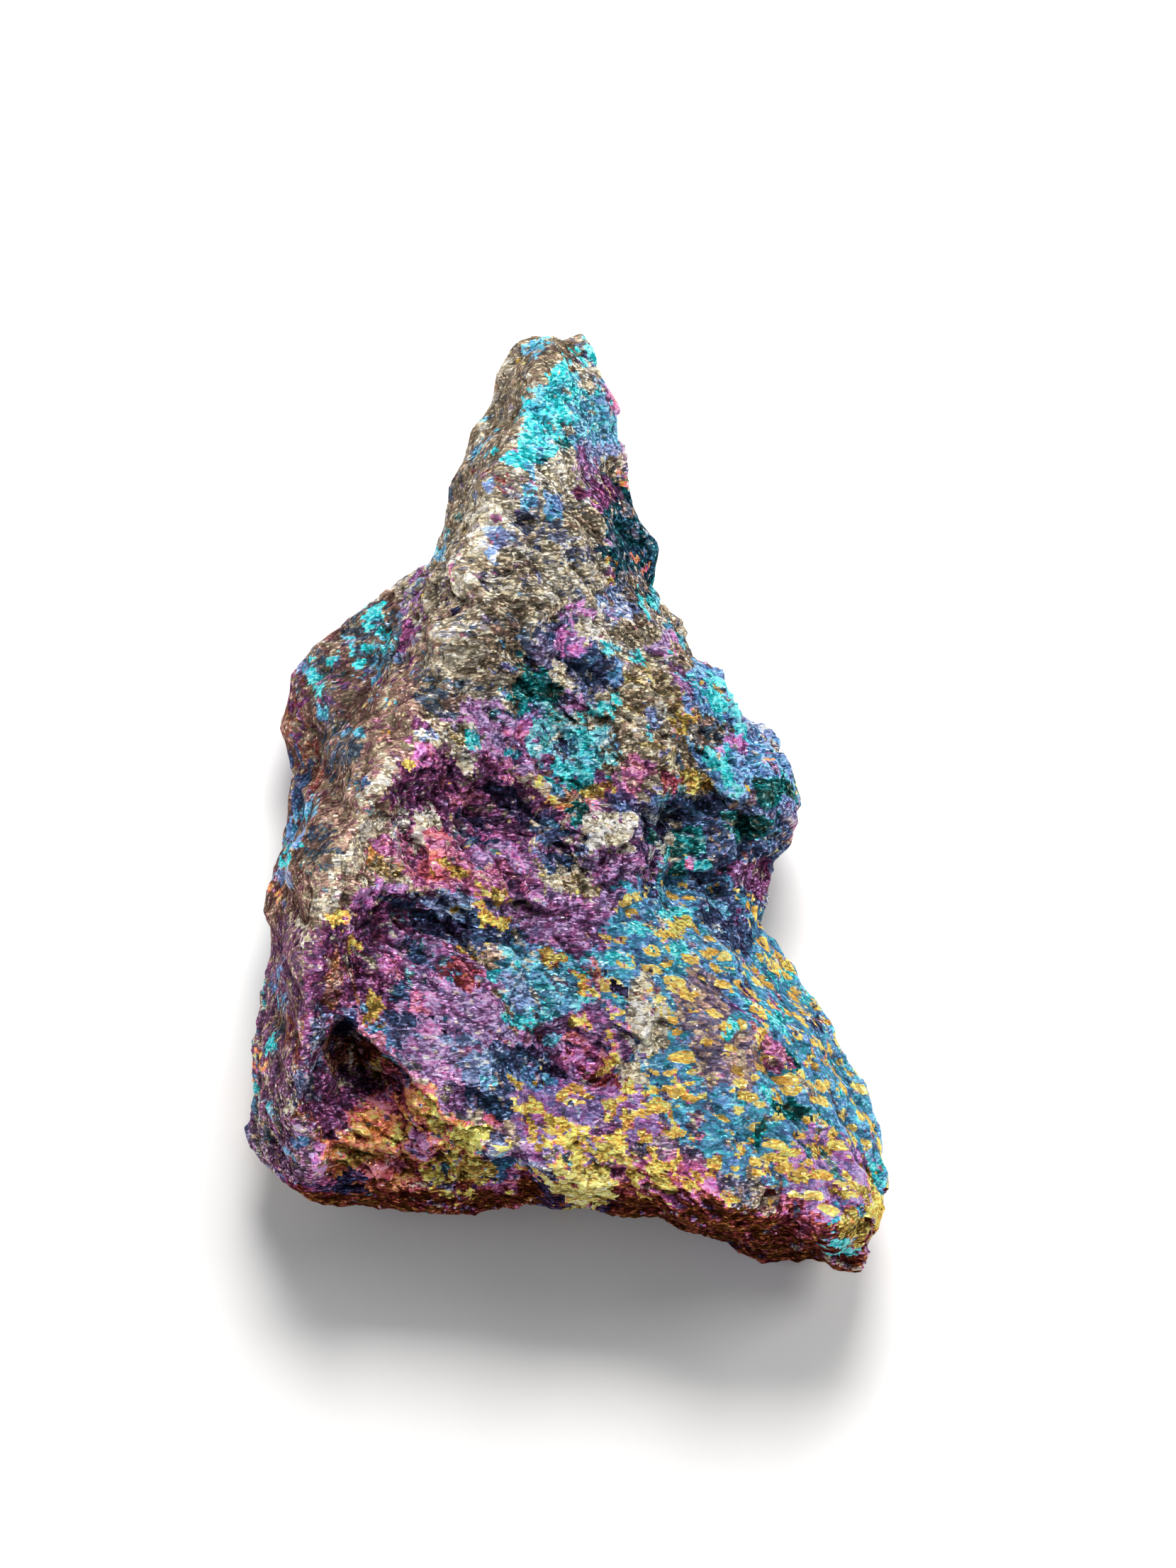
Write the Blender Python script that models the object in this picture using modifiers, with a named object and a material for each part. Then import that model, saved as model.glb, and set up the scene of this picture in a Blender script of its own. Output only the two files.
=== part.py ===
"""A rough lump of iridescent chalcopyrite, 67 mm long, broken on every side and lying on its back.

It is one piece of stone, so it is one object. The origin is on the table under the middle of its box,
+Z is up, +Y points to the narrow tip and +X to the side with the broad lower corner.

The form is a coarse cage of landmarks, closed all round. The cage is remeshed evenly, roughened
as fractured ore is, flattened where it rests, and thinned to the triangles that the form needs.
"""

import math

import bmesh
import bpy
from mathutils import Vector, noise
from mathutils.geometry import delaunay_2d_cdt

MM = 0.001
NAME = "chalcopyrite"

# The stone's face is read from a viewpoint that leans this far back from straight above.
LEAN_DEG = 12.0

# The foot is the outline drawn in by these shares, so that every side overhangs a little.
FOOT_SHARE_X = 0.86
FOOT_SHARE_Y = 0.92
FOOT_CENTRE_Y = -4.0
FOOT_HEIGHT = 0.9

VOXEL = 0.62
SMOOTH_FACTOR = 0.5
SMOOTH_TURNS = 1
TRIANGLES = 9400
# Whatever is lower than this, in mm, is worn level with the table.
WORN_BELOW = 0.06

# Fracture relief in mm: how far it moves the surface, and the size of one lump or chip.
SWELL_DEPTH = 0.40
SWELL_SIZE = 6.5
BREAK_SLOPE = 0.13
BREAK_SIZE = 9.5
CHIP_SLOPE = 0.19
CHIP_SIZE = 3.8
CHIP_EDGE = 0.22
RIDGE_DEPTH = 0.40
RIDGE_SIZE = 3.4
# The ore's grain runs down to the right across the face, and stretches the relief along it.
GRAIN_DEG = -38.0
GRAIN_STRETCH = 1.9

# Every landmark is (across, up, height) in mm: across and up as the face is seen, height off the table.
# The outline starts at the tip and runs clockwise.
TIP_AND_UPPER_RIGHT = [
    (-1.9, 33.9, 7.0), (1.2, 34.0, 7.0), (1.9, 32.4, 7.0), (2.6, 30.6, 7.5), (3.1, 28.1, 7.5),
    (3.8, 24.3, 7.0), (5.7, 21.3, 7.0), (6.3, 18.1, 6.5), (5.7, 15.4, 6.5),
]
RIGHT_LOBE_EDGE = [
    (7.2, 13.7, 7.0), (9.3, 10.7, 7.0), (10.8, 9.8, 7.0), (11.6, 8.0, 7.5), (12.5, 6.3, 7.5),
    (13.4, 4.6, 7.5), (14.7, 3.4, 7.5), (16.4, 0.6, 8.0), (16.1, -2.8, 8.0), (14.7, -4.8, 7.0),
    (14.4, -6.8, 7.0), (13.9, -8.5, 7.0),
]
LOWER_RIGHT_EDGE = [
    (15.2, -11.1, 7.5), (16.3, -12.9, 8.0), (18.1, -14.2, 8.0), (18.9, -16.6, 8.0),
    (20.6, -20.0, 8.0), (22.1, -23.5, 8.0), (22.9, -28.0, 8.5), (21.9, -30.8, 8.0), (21.2, -32.2, 6.0),
]
BROAD_END_EDGE = [
    (19.0, -33.0, 2.5), (14.2, -32.9, 1.5), (11.5, -31.4, 2.0), (7.0, -29.5, 3.0), (3.0, -28.4, 5.0),
    (-2.0, -28.3, 6.0), (-7.8, -29.0, 6.0), (-12.8, -28.4, 7.0), (-18.2, -28.2, 7.0), (-19.9, -26.9, 7.0),
]
LEFT_EDGE = [
    (-22.2, -23.8, 6.5), (-21.7, -20.1, 6.0), (-22.5, -17.6, 5.0), (-21.7, -14.3, 5.0),
    (-21.6, -11.6, 5.0), (-21.9, -8.9, 5.0), (-20.3, -3.8, 5.0), (-19.4, 1.5, 5.0), (-20.0, 5.5, 5.0),
    (-20.0, 9.3, 5.5), (-18.2, 11.2, 6.0), (-14.6, 13.7, 6.0), (-12.0, 15.5, 6.5), (-9.9, 17.1, 7.0),
    (-8.9, 19.8, 8.0), (-8.0, 22.8, 8.0), (-7.0, 26.4, 7.5), (-5.4, 29.4, 7.5), (-5.0, 32.2, 7.0),
    (-3.8, 33.5, 7.0),
]
OUTLINE = TIP_AND_UPPER_RIGHT + RIGHT_LOBE_EDGE + LOWER_RIGHT_EDGE + BROAD_END_EDGE + LEFT_EDGE

# The crest runs from the tip down the left side and is the stone's highest line.
CREST = [
    (-0.6, 33.4, 10.5), (-2.0, 31.0, 12.5), (-2.8, 27.8, 13.5), (-4.3, 24.5, 15.0), (-6.0, 20.5, 17.0),
    (-7.8, 16.5, 19.0), (-9.3, 11.5, 21.0), (-11.0, 6.5, 22.5), (-12.8, 2.0, 24.0), (-14.8, -2.0, 25.0),
    (-16.5, -5.5, 25.5), (-17.5, -9.5, 25.5), (-17.8, -13.5, 24.5), (-18.3, -17.5, 23.0),
    (-18.8, -21.5, 20.5), (-18.5, -25.5, 16.5),
]
LEFT_SHOULDER = [
    (-9.8, 14.5, 15.0), (-11.3, 10.5, 17.5), (-13.0, 6.5, 19.0), (-15.0, 2.5, 21.0), (-17.3, -1.0, 22.0),
    (-18.5, -5.0, 23.0), (-19.3, -9.5, 21.5), (-19.2, -13.5, 20.0), (-20.0, -17.5, 17.0), (-20.8, -21.5, 14.0),
]
LEFT_SHELF = [
    (-11.0, 14.0, 11.0), (-12.8, 11.5, 10.0), (-13.5, 9.0, 10.5), (-16.0, 10.5, 9.0), (-18.0, 8.5, 8.5),
    (-15.5, 6.5, 11.0), (-18.0, 3.5, 9.0), (-16.5, 2.0, 13.0), (-18.5, -1.0, 11.0), (-19.8, -5.5, 12.0),
    (-20.3, -10.0, 10.0), (-20.5, -14.5, 9.0), (-21.5, -18.5, 8.0), (-21.5, -23.0, 9.0),
]
UPPER_FACE = [
    (0.0, 31.5, 9.8), (0.5, 28.5, 11.0), (2.3, 28.5, 9.0), (-0.5, 25.5, 13.0), (3.0, 24.5, 9.5),
    (-2.5, 21.5, 16.0), (2.0, 22.0, 13.0), (4.0, 20.5, 9.5), (-4.0, 17.5, 18.0), (-0.5, 17.5, 17.5),
    (2.8, 18.0, 14.5), (4.5, 17.0, 10.5), (3.5, 15.0, 14.0), (5.0, 15.5, 10.0), (-5.5, 13.0, 20.0),
    (-1.5, 13.5, 19.0), (2.0, 13.0, 17.0),
]
RIGHT_LOBE = [
    (5.3, 13.5, 13.0), (7.0, 11.0, 12.5), (5.0, 9.5, 16.0), (8.0, 8.5, 14.5), (10.5, 7.0, 12.5),
    (12.3, 5.0, 12.0), (8.0, 5.0, 16.5), (10.5, 3.5, 14.0), (14.0, 2.0, 12.0), (12.0, 1.0, 14.5),
    (15.0, -0.5, 12.0),
]
MIDDLE_FACE = [
    (-8.0, 8.5, 21.0), (-4.0, 9.0, 19.5), (0.0, 9.0, 18.0), (3.0, 7.0, 18.5), (-7.0, 4.5, 20.5),
    (-3.5, 5.5, 18.5), (-0.5, 6.0, 17.5), (-1.0, 3.0, 15.5), (2.0, 3.5, 16.5), (5.3, 3.0, 18.5),
    (1.0, 1.0, 17.0), (4.0, 1.0, 18.0), (2.0, -2.0, 20.0), (0.0, -3.5, 18.5), (4.0, -1.5, 18.5),
    (6.5, 0.5, 18.0), (6.0, -3.5, 16.5),
]
DARK_RECESS = [
    (-10.0, 3.5, 22.5), (-9.5, 1.0, 19.5), (-7.0, 0.5, 17.5), (-4.0, 0.0, 17.0), (-2.0, -1.0, 17.5),
    (-10.5, -1.0, 20.5), (-9.0, -2.5, 19.5), (-6.0, -2.5, 18.0),
]
LOBE_UNDERCUT = [
    (8.0, -0.2, 14.5), (7.3, -1.2, 12.5), (9.5, -0.8, 12.0), (11.5, -1.0, 13.0), (8.8, -2.8, 14.0),
    (7.0, -4.0, 14.5), (10.0, -4.5, 13.5), (13.5, -2.5, 11.0), (12.5, -5.5, 11.0), (9.5, -6.0, 12.5),
    (6.5, -6.5, 15.0), (12.0, -8.0, 11.5),
]
LEDGES_AND_VALLEYS = [
    (-12.0, -3.5, 22.0), (-13.0, -5.8, 22.5), (-10.0, -5.5, 21.0), (-7.0, -5.5, 19.5), (-3.0, -4.5, 18.5),
    (1.0, -6.0, 18.5), (-14.5, -8.0, 23.0), (-12.0, -8.5, 19.5), (-8.0, -9.0, 18.0), (-4.0, -9.5, 18.0),
    (-1.0, -8.0, 18.5), (3.5, -8.0, 17.5), (-15.0, -11.0, 22.0), (-11.0, -12.0, 20.5), (-7.0, -12.0, 20.5),
    (-3.0, -12.0, 19.5), (1.0, -11.0, 18.5),
]
SLAB = [
    (-16.3, -14.5, 22.5), (-14.0, -15.9, 22.0), (-12.0, -17.8, 21.5), (-10.0, -19.8, 21.0),
    (-8.0, -22.0, 20.5), (-5.5, -24.0, 19.0), (-11.0, -15.0, 22.0), (-7.0, -16.0, 21.5), (-6.0, -19.5, 20.5),
]
CAVE = [
    (-15.3, -16.0, 16.0), (-14.3, -18.0, 14.5), (-12.8, -19.0, 15.5), (-15.5, -19.0, 16.5), (-16.8, -17.5, 21.0),
]
GOLD_POCKET = [
    (-16.0, -22.0, 17.5), (-12.0, -21.5, 17.0), (-9.5, -23.5, 16.5), (-7.0, -24.5, 16.0),
    (-15.0, -25.5, 14.5), (-11.0, -26.5, 13.5), (-7.0, -27.0, 13.0), (-4.0, -26.5, 14.5),
]
LOWER_MIDDLE = [
    (-3.0, -15.5, 20.0), (0.0, -14.5, 19.0), (-2.0, -19.5, 17.5), (2.0, -18.5, 17.0), (5.5, -12.5, 19.0),
    (5.5, -16.0, 20.0), (4.0, -20.0, 19.0), (-2.5, -22.5, 18.5), (1.0, -23.0, 18.5), (-1.0, -26.0, 17.0),
    (2.5, -27.8, 14.5),
]
LOWER_RIGHT = [
    (8.0, -9.5, 16.0), (11.5, -11.0, 15.0), (9.0, -14.5, 18.0), (13.0, -15.0, 16.0), (16.5, -16.0, 13.5),
    (8.5, -19.5, 18.5), (13.0, -20.0, 17.5), (17.5, -20.0, 15.0), (5.0, -23.5, 18.5), (9.5, -24.5, 18.5),
    (14.0, -24.5, 17.0), (16.5, -23.0, 15.5), (20.0, -24.5, 13.5), (17.5, -27.5, 16.0), (21.0, -28.5, 13.0),
]
BROAD_END = [
    (20.7, -30.8, 11.0), (18.5, -31.0, 14.0), (16.5, -28.7, 15.0), (16.0, -30.3, 9.0), (13.0, -29.0, 17.0),
    (10.0, -28.3, 17.0), (6.5, -27.9, 16.0), (4.0, -28.3, 14.0), (12.0, -30.5, 9.0), (7.5, -29.1, 9.0),
    (-2.0, -27.8, 12.0), (-5.0, -28.1, 11.5), (-8.0, -28.6, 10.5), (-12.5, -27.8, 11.0),
    (-17.0, -27.1, 12.5), (-20.0, -25.5, 12.0),
]
FACE = (
    CREST + LEFT_SHOULDER + LEFT_SHELF + UPPER_FACE + RIGHT_LOBE + MIDDLE_FACE + DARK_RECESS
    + LOBE_UNDERCUT + LEDGES_AND_VALLEYS + SLAB + CAVE + GOLD_POCKET + LOWER_MIDDLE + LOWER_RIGHT + BROAD_END
)

# The underside is (x, y, z) in mm on the table. What is modelled under zero is rubbed flat there.
UNDERSIDE = [
    (-1.5, 24.0, -0.4), (0.5, 17.0, 0.9), (-8.0, 12.0, 0.4), (2.5, 9.0, -0.5), (-13.0, 5.0, 0.8),
    (-4.0, 3.0, 1.4), (8.0, 1.0, 0.8), (-12.0, -4.0, -0.4), (0.0, -6.0, -0.6), (9.0, -7.0, 1.5),
    (-15.0, -13.0, 0.7), (-6.0, -14.0, 1.3), (4.0, -15.0, 0.6), (13.0, -16.0, -0.6), (-13.0, -21.0, -0.7),
    (-3.0, -22.0, 0.7), (6.0, -24.0, 1.2), (15.0, -25.0, -0.5),
]

TARNISH = (0.10, 0.11, 0.26, 1.0)


def clear_scene():
    for obj in list(bpy.data.objects):
        bpy.data.objects.remove(obj, do_unlink=True)


def on_the_table(across, up, height):
    """The landmark's place in the stone's own frame, in mm."""
    lean = math.radians(LEAN_DEG)
    return Vector((across, (up - height * math.sin(lean)) / math.cos(lean), height))


def foot_point(rim):
    """The point on the underside's edge below a point of the outline, in mm."""
    x = rim.x * FOOT_SHARE_X
    y = FOOT_CENTRE_Y + (rim.y - FOOT_CENTRE_Y) * FOOT_SHARE_Y
    return Vector((x, y, min(FOOT_HEIGHT, 0.4 * rim.z)))


def triangles_inside(flat_points, edge_count):
    """Triangles over flat_points, inside the loop that its first edge_count points make."""
    points = [Vector(point) for point in flat_points]
    result = delaunay_2d_cdt(points, [], [list(range(edge_count))], 1, 1e-5)
    made_faces, origins = result[2], result[3]
    return [[origins[i][0] for i in face] for face in made_faces]


def build_cage():
    """The closed coarse cage: the face, the sides down to the foot, and the underside."""
    count = len(OUTLINE)
    face_marks = OUTLINE + FACE
    bm = bmesh.new()
    face_verts = [bm.verts.new(on_the_table(*mark)) for mark in face_marks]
    foot_verts = [bm.verts.new(foot_point(vert.co)) for vert in face_verts[:count]]
    under_verts = foot_verts + [bm.verts.new(Vector(mark)) for mark in UNDERSIDE]

    for triangle in triangles_inside([mark[:2] for mark in face_marks], count):
        bm.faces.new([face_verts[i] for i in triangle])
    for triangle in triangles_inside([vert.co.xy for vert in under_verts], count):
        bm.faces.new([under_verts[i] for i in triangle])
    for i in range(count):
        after = (i + 1) % count
        bm.faces.new((face_verts[i], face_verts[after], foot_verts[after], foot_verts[i]))
    bmesh.ops.recalc_face_normals(bm, faces=bm.faces)

    mesh = bpy.data.meshes.new(NAME)
    bm.to_mesh(mesh)
    bm.free()
    return mesh


def applied(obj):
    """Replaces the object's mesh by what its modifiers make of it."""
    graph = bpy.context.evaluated_depsgraph_get()
    mesh = bpy.data.meshes.new_from_object(obj.evaluated_get(graph))
    obj.modifiers.clear()
    obj.data = mesh


def remesh(obj):
    """Spreads even faces over the cage and takes the knife edge off its creases."""
    even = obj.modifiers.new("even faces", "REMESH")
    even.mode = "VOXEL"
    even.voxel_size = VOXEL
    soft = obj.modifiers.new("worn creases", "SMOOTH")
    soft.factor = SMOOTH_FACTOR
    soft.iterations = SMOOTH_TURNS
    applied(obj)


def along_grain(point):
    """The point with the grain's direction drawn in, so that relief read there comes out stretched."""
    turn = math.radians(GRAIN_DEG)
    along = point.x * math.cos(turn) + point.y * math.sin(turn)
    across = point.y * math.cos(turn) - point.x * math.sin(turn)
    return Vector((along / GRAIN_STRETCH, across, point.z))


def chips(point, size):
    """Flat chips about one size across, each tilted its own way, that come back level at their edges."""
    place = point / size
    distances, centres = noise.voronoi(place)
    tilt = noise.cell_vector(centres[0] * 7.3) * 2.0 - Vector((1.0, 1.0, 1.0))
    edge = min(1.0, (distances[1] - distances[0]) / CHIP_EDGE)
    return edge * tilt.dot(place - centres[0]) * size


def relief(point):
    """How far the fractured surface stands out of the smooth form at this point, in mm."""
    stretched = along_grain(point)
    swell = noise.fractal(stretched / SWELL_SIZE, 1.0, 2.0, 3)
    ridge = 1.0 - 2.0 * abs(noise.noise(stretched / RIDGE_SIZE + Vector((11.0, 3.0, 5.0))))
    rough = SWELL_DEPTH * swell + RIDGE_DEPTH * (ridge - 0.6)
    return rough + BREAK_SLOPE * chips(point, BREAK_SIZE) + CHIP_SLOPE * chips(stretched, CHIP_SIZE)


def roughen(mesh):
    normals = [vert.normal.copy() for vert in mesh.vertices]
    for vert, normal in zip(mesh.vertices, normals):
        vert.co += normal * relief(vert.co)


def rub_flat(mesh):
    """The lowest places are worn level, and carry the stone."""
    for vert in mesh.vertices:
        if vert.co.z < WORN_BELOW:
            vert.co.z = 0.0


def thin_out(obj):
    """Merges faces where the form is plain, down to TRIANGLES."""
    obj.data.calc_loop_triangles()
    thin = obj.modifiers.new("fewer faces", "DECIMATE")
    thin.ratio = TRIANGLES / len(obj.data.loop_triangles)
    applied(obj)


def centre_on_table(mesh):
    """Puts the origin on the table under the middle of the stone's box."""
    xs = [vert.co.x for vert in mesh.vertices]
    ys = [vert.co.y for vert in mesh.vertices]
    middle = Vector(((min(xs) + max(xs)) / 2, (min(ys) + max(ys)) / 2, 0.0))
    for vert in mesh.vertices:
        vert.co -= middle


def ore_material():
    material = bpy.data.materials.new("tarnished ore")
    material.use_nodes = True
    shader = material.node_tree.nodes["Principled BSDF"]
    shader.inputs["Base Color"].default_value = TARNISH
    shader.inputs["Metallic"].default_value = 1.0
    shader.inputs["Roughness"].default_value = 0.42
    material.diffuse_color = TARNISH
    return material


def main():
    clear_scene()
    stone = bpy.data.objects.new(NAME, build_cage())
    collection = bpy.data.collections.new("Chalcopyrite specimen")
    bpy.context.scene.collection.children.link(collection)
    collection.objects.link(stone)

    remesh(stone)
    roughen(stone.data)
    rub_flat(stone.data)
    thin_out(stone)
    rub_flat(stone.data)
    centre_on_table(stone.data)

    for vert in stone.data.vertices:
        vert.co *= MM
    stone.data.materials.clear()
    stone.data.materials.append(ore_material())
    stone.data.shade_flat()


main()
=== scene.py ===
# %% [markdown]
# # A lump of tarnished chalcopyrite
# Chalcopyrite is a brass-yellow copper ore. When its fresh break is tarnished, a film thinner than a
# soap bubble grows on it, and light that bounces off the top and the bottom of that film mixes into
# gold, magenta, purple, blue and turquoise. This lesson dresses a plain stone of the right form in
# that skin: first real relief in the mesh, then a map of how thick the film is, then the shader.

# %% Load the stone's plain form
import math
import bpy
import numpy as np
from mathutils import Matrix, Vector, noise


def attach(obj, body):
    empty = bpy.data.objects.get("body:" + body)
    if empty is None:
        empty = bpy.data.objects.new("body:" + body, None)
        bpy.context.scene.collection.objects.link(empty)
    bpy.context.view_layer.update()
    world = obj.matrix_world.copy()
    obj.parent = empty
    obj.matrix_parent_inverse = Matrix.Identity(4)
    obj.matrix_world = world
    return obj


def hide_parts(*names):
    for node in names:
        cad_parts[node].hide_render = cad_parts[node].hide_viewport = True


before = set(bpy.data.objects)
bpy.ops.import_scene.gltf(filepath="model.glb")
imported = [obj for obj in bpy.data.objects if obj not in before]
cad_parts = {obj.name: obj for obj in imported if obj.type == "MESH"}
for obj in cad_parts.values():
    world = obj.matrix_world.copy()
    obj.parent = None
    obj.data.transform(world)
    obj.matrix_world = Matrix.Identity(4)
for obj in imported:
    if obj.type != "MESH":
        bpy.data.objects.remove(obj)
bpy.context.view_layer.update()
STONE = "chalcopyrite"
MM = 0.001

# %% [markdown]
# ## Where the face is seen from
# The stone lies on its back, and its face is looked at from almost straight above, leaning 12 degrees
# towards the broad end. Every mark on the face is placed as (across, up) in millimetres on a sheet that
# stands square to this line of sight, so one viewpoint serves the camera and the marks alike.
# The camera could be aimed with a constraint, but three plain vectors are easier to measure with.

# %% Make the camera
ELEVATION = math.radians(78.0)
FOCAL_MM = 300.0                                  # a long lens, so that near and far parts keep their size
SENSOR_MM = 36.0
VIEW_HEIGHT_MM = 110.6                            # what the picture's long side spans at the face
FACE_ORIGIN = Vector((0.0, -1.13, 10.0))          # across 0, up 0, in mm
VIEW_CENTRE = (1.5, 1.2)                          # where the camera looks on the face

TO_VIEWER = Vector((0.0, -math.cos(ELEVATION), math.sin(ELEVATION)))
ACROSS = Vector((1.0, 0.0, 0.0))
UP = TO_VIEWER.cross(ACROSS)
aim = FACE_ORIGIN + VIEW_CENTRE[0] * ACROSS + VIEW_CENTRE[1] * UP
eye = aim + TO_VIEWER * (VIEW_HEIGHT_MM * FOCAL_MM / SENSOR_MM)

camera_data = bpy.data.cameras.new("camera")
camera_data.lens = FOCAL_MM
camera_data.sensor_width = SENSOR_MM
camera_data.clip_start = 0.01
camera = bpy.data.objects.new("camera", camera_data)
bpy.context.scene.collection.objects.link(camera)
camera.location = eye * MM
camera.rotation_mode = "QUATERNION"
camera.rotation_quaternion = (-TO_VIEWER).to_track_quat("-Z", "Y")
bpy.context.scene.camera = camera
print("camera distance, mm:", round((eye - aim).length, 1))

# %% [markdown]
# ## A mesh fine enough to carve
# The plain form has a triangle every millimetre or so. The ore's grain is a fifth of that, so the
# surface is first covered with small even faces. Subdividing would keep the old facets' outline in
# the new ones. A voxel remesh forgets them, which is what a broken stone wants.

# %% Copy the form and remesh it
VOXEL_MM = 0.21

bpy.ops.object.select_all(action="DESELECT")
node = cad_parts[STONE]
bpy.context.view_layer.objects.active = node
node.select_set(True)
bpy.ops.object.duplicate()
stone = bpy.context.object
stone.name = "tarnished_stone"
stone.data.name = "tarnished_stone"
for custom in [key for key in stone.keys() if key.startswith("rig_")]:
    del stone[custom]
stone.parent = None
stone.data.materials.clear()

bpy.ops.object.mode_set(mode="EDIT")
bpy.ops.mesh.select_all(action="SELECT")
bpy.ops.mesh.remove_doubles(threshold=1e-6)
bpy.ops.object.mode_set(mode="OBJECT")


def apply_all(obj):
    """Applies every modifier of the object, in order."""
    bpy.ops.object.select_all(action="DESELECT")
    bpy.context.view_layer.objects.active = obj
    obj.select_set(True)
    for modifier in list(obj.modifiers):
        bpy.ops.object.modifier_apply(modifier=modifier.name)


even = stone.modifiers.new("even faces", "REMESH")
even.mode = "VOXEL"
even.voxel_size = VOXEL_MM * MM
soft = stone.modifiers.new("no facets", "SMOOTH")
soft.factor = 0.5
soft.iterations = 4
apply_all(stone)
print("fine mesh:", len(stone.data.vertices), "points")

# %% [markdown]
# ## Reading places off the mesh
# Numpy holds all the points at once. `face_places` is the other half of the camera: it follows the line
# from the eye through each point to the sheet and gives (across, up) there. `facing` is 1 where the
# surface looks at the viewer and 0 where it turns away, so marks of the face stay off the stone's back.

# %% Helpers for points, normals and places
def points_of(mesh):
    flat = np.empty(len(mesh.vertices) * 3, np.float32)
    mesh.vertices.foreach_get("co", flat)
    return flat.reshape(-1, 3).astype(float) / MM


def normals_of(mesh):
    flat = np.empty(len(mesh.vertices) * 3, np.float32)
    mesh.vertex_normals.foreach_get("vector", flat)
    return flat.reshape(-1, 3).astype(float)


def move_points(mesh, points):
    mesh.vertices.foreach_set("co", (points * MM).astype(np.float32).ravel())
    mesh.update()


def face_places(points):
    rays = points - np.array(eye)
    depth = rays @ np.array(-TO_VIEWER)
    reach = (eye - FACE_ORIGIN).dot(TO_VIEWER)
    on_sheet = np.array(eye) + rays * (reach / depth)[:, None] - np.array(FACE_ORIGIN)
    return on_sheet @ np.array(ACROSS), on_sheet @ np.array(UP)


def ramp(values, low, high):
    """0 below low, 1 above high, smooth between them."""
    t = np.clip((values - low) / (high - low), 0.0, 1.0)
    return t * t * (3.0 - 2.0 * t)


def facing(normals):
    return ramp(normals @ np.array(TO_VIEWER), -0.05, 0.25)


def mark_distance(mark, across, up):
    """0 in the middle of the mark's ellipse and 1 on its rim."""
    _, middle_across, middle_up, half_length, half_width, turn = mark
    turn = math.radians(turn)
    x, y = across - middle_across, up - middle_up
    along = x * math.cos(turn) + y * math.sin(turn)
    beside = y * math.cos(turn) - x * math.sin(turn)
    return np.sqrt((along / half_length) ** 2 + (beside / half_width) ** 2)


points = points_of(stone.data)
normals = normals_of(stone.data)
across, up = face_places(points)
print("face, mm:", np.round([across.min(), across.max(), up.min(), up.max()], 1))

# %% [markdown]
# ## Fracture relief
# Ore breaks in chips. Large ones make ledges, small ones the crumbly grain that glitters. Each chip is a
# Voronoi cell with its own random tilt. Cells are stretched along the grain of the stone, which runs
# down to the right. Plain noise would look like melted wax, because it has no flats and no edges.
# Blender starts its vector noise from the clock, so it is given a seed, or each run breaks another stone.

# %% Relief functions
NOISE_SEED = 7
GRAIN_TURN = math.radians(-42.0)
GRAIN_STRETCH = 2.2
SCATTER = 9.7                                      # spreads neighbouring cells over unlike random tilts

noise.seed_set(NOISE_SEED)


def along_grain(point, stretch=GRAIN_STRETCH):
    """The point with the grain's direction drawn in, so that what is read there comes out stretched."""
    along = point.x * math.cos(GRAIN_TURN) + point.y * math.sin(GRAIN_TURN)
    beside = point.y * math.cos(GRAIN_TURN) - point.x * math.sin(GRAIN_TURN)
    return Vector((along / stretch, beside, point.z))


def chip(point, size, edge=0.14):
    """A flat chip with its own tilt, level at its edges. Its height is a share of its size."""
    place = point / size
    distances, centres = noise.voronoi(place)
    tilt = noise.cell_vector(centres[0] * SCATTER) * 2.0 - Vector((1.0, 1.0, 1.0))
    inside = min(1.0, (distances[1] - distances[0]) / edge)
    return inside * tilt.dot(place - centres[0]) * size


def ledge(point, size):
    """Sharp crests between hollows, from minus one to one."""
    return 1.0 - 3.0 * abs(noise.noise(point / size))


print("grain runs at, degrees:", round(math.degrees(GRAIN_TURN)))

# %% [markdown]
# The relief is a sum from coarse to fine. Each kind has a size in millimetres and a slope or a depth.
# How strong it is differs over the face: the slab, the left shelf and the lower right are calm, and the
# broken middle is rough.

# %% Carve the relief
LEDGE_MM, LEDGE_DEPTH = 2.9, 0.20
CHIP_MM, CHIP_SLOPE = 1.9, 0.40
SMALL_CHIP_MM, SMALL_CHIP_SLOPE = 0.85, 0.42
CRUMB_MM, CRUMB_SLOPE = 0.42, 0.24
WARP_MM, WARP_DEPTH = 3.1, 0.9

RELIEF_SHARE = 0.60                                # how much of the relief shows elsewhere
SHARE_FADE = (0.7, 1.2)                            # where a calm or rough spot starts to fade and ends
# share of the relief, across, up, half length, half width, turn
CALM_AND_ROUGH = [
    (0.3, -7, -16.5, 5.5, 4, -45), (0.15, -16.5, 8, 4.5, 8, 0), (0.35, 12, -17, 8, 12, 35),
    (0.2, -7, 25.5, 9, 3, 65), (0.15, 4.6, 18.5, 4.5, 1.6, -80), (0.35, -12.5, 3, 3, 10, -28),
    (0.25, -18.5, -10, 3, 14, 0), (1.4, -3, -2, 9, 5.5, -20), (1.2, 2, 6, 7, 4.5, -20),
    (1.3, -11, -24, 6, 3.2, -5), (1, 11, 4, 6, 3.5, -60), (1.1, -10, -9, 6, 4, -20),
]


def relief_at(point):
    """Height of the relief in mm where nothing calms it."""
    bent = point + noise.noise_vector(point / WARP_MM) * WARP_DEPTH
    stretched = along_grain(bent)
    coarse = LEDGE_DEPTH * ledge(stretched + Vector((31.0, 7.0, 3.0)), LEDGE_MM)
    middle = CHIP_SLOPE * chip(stretched, CHIP_MM)
    small = SMALL_CHIP_SLOPE * chip(along_grain(bent, 1.6), SMALL_CHIP_MM)
    crumb = CRUMB_SLOPE * chip(point, CRUMB_MM)
    return coarse + middle + small + crumb


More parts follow.
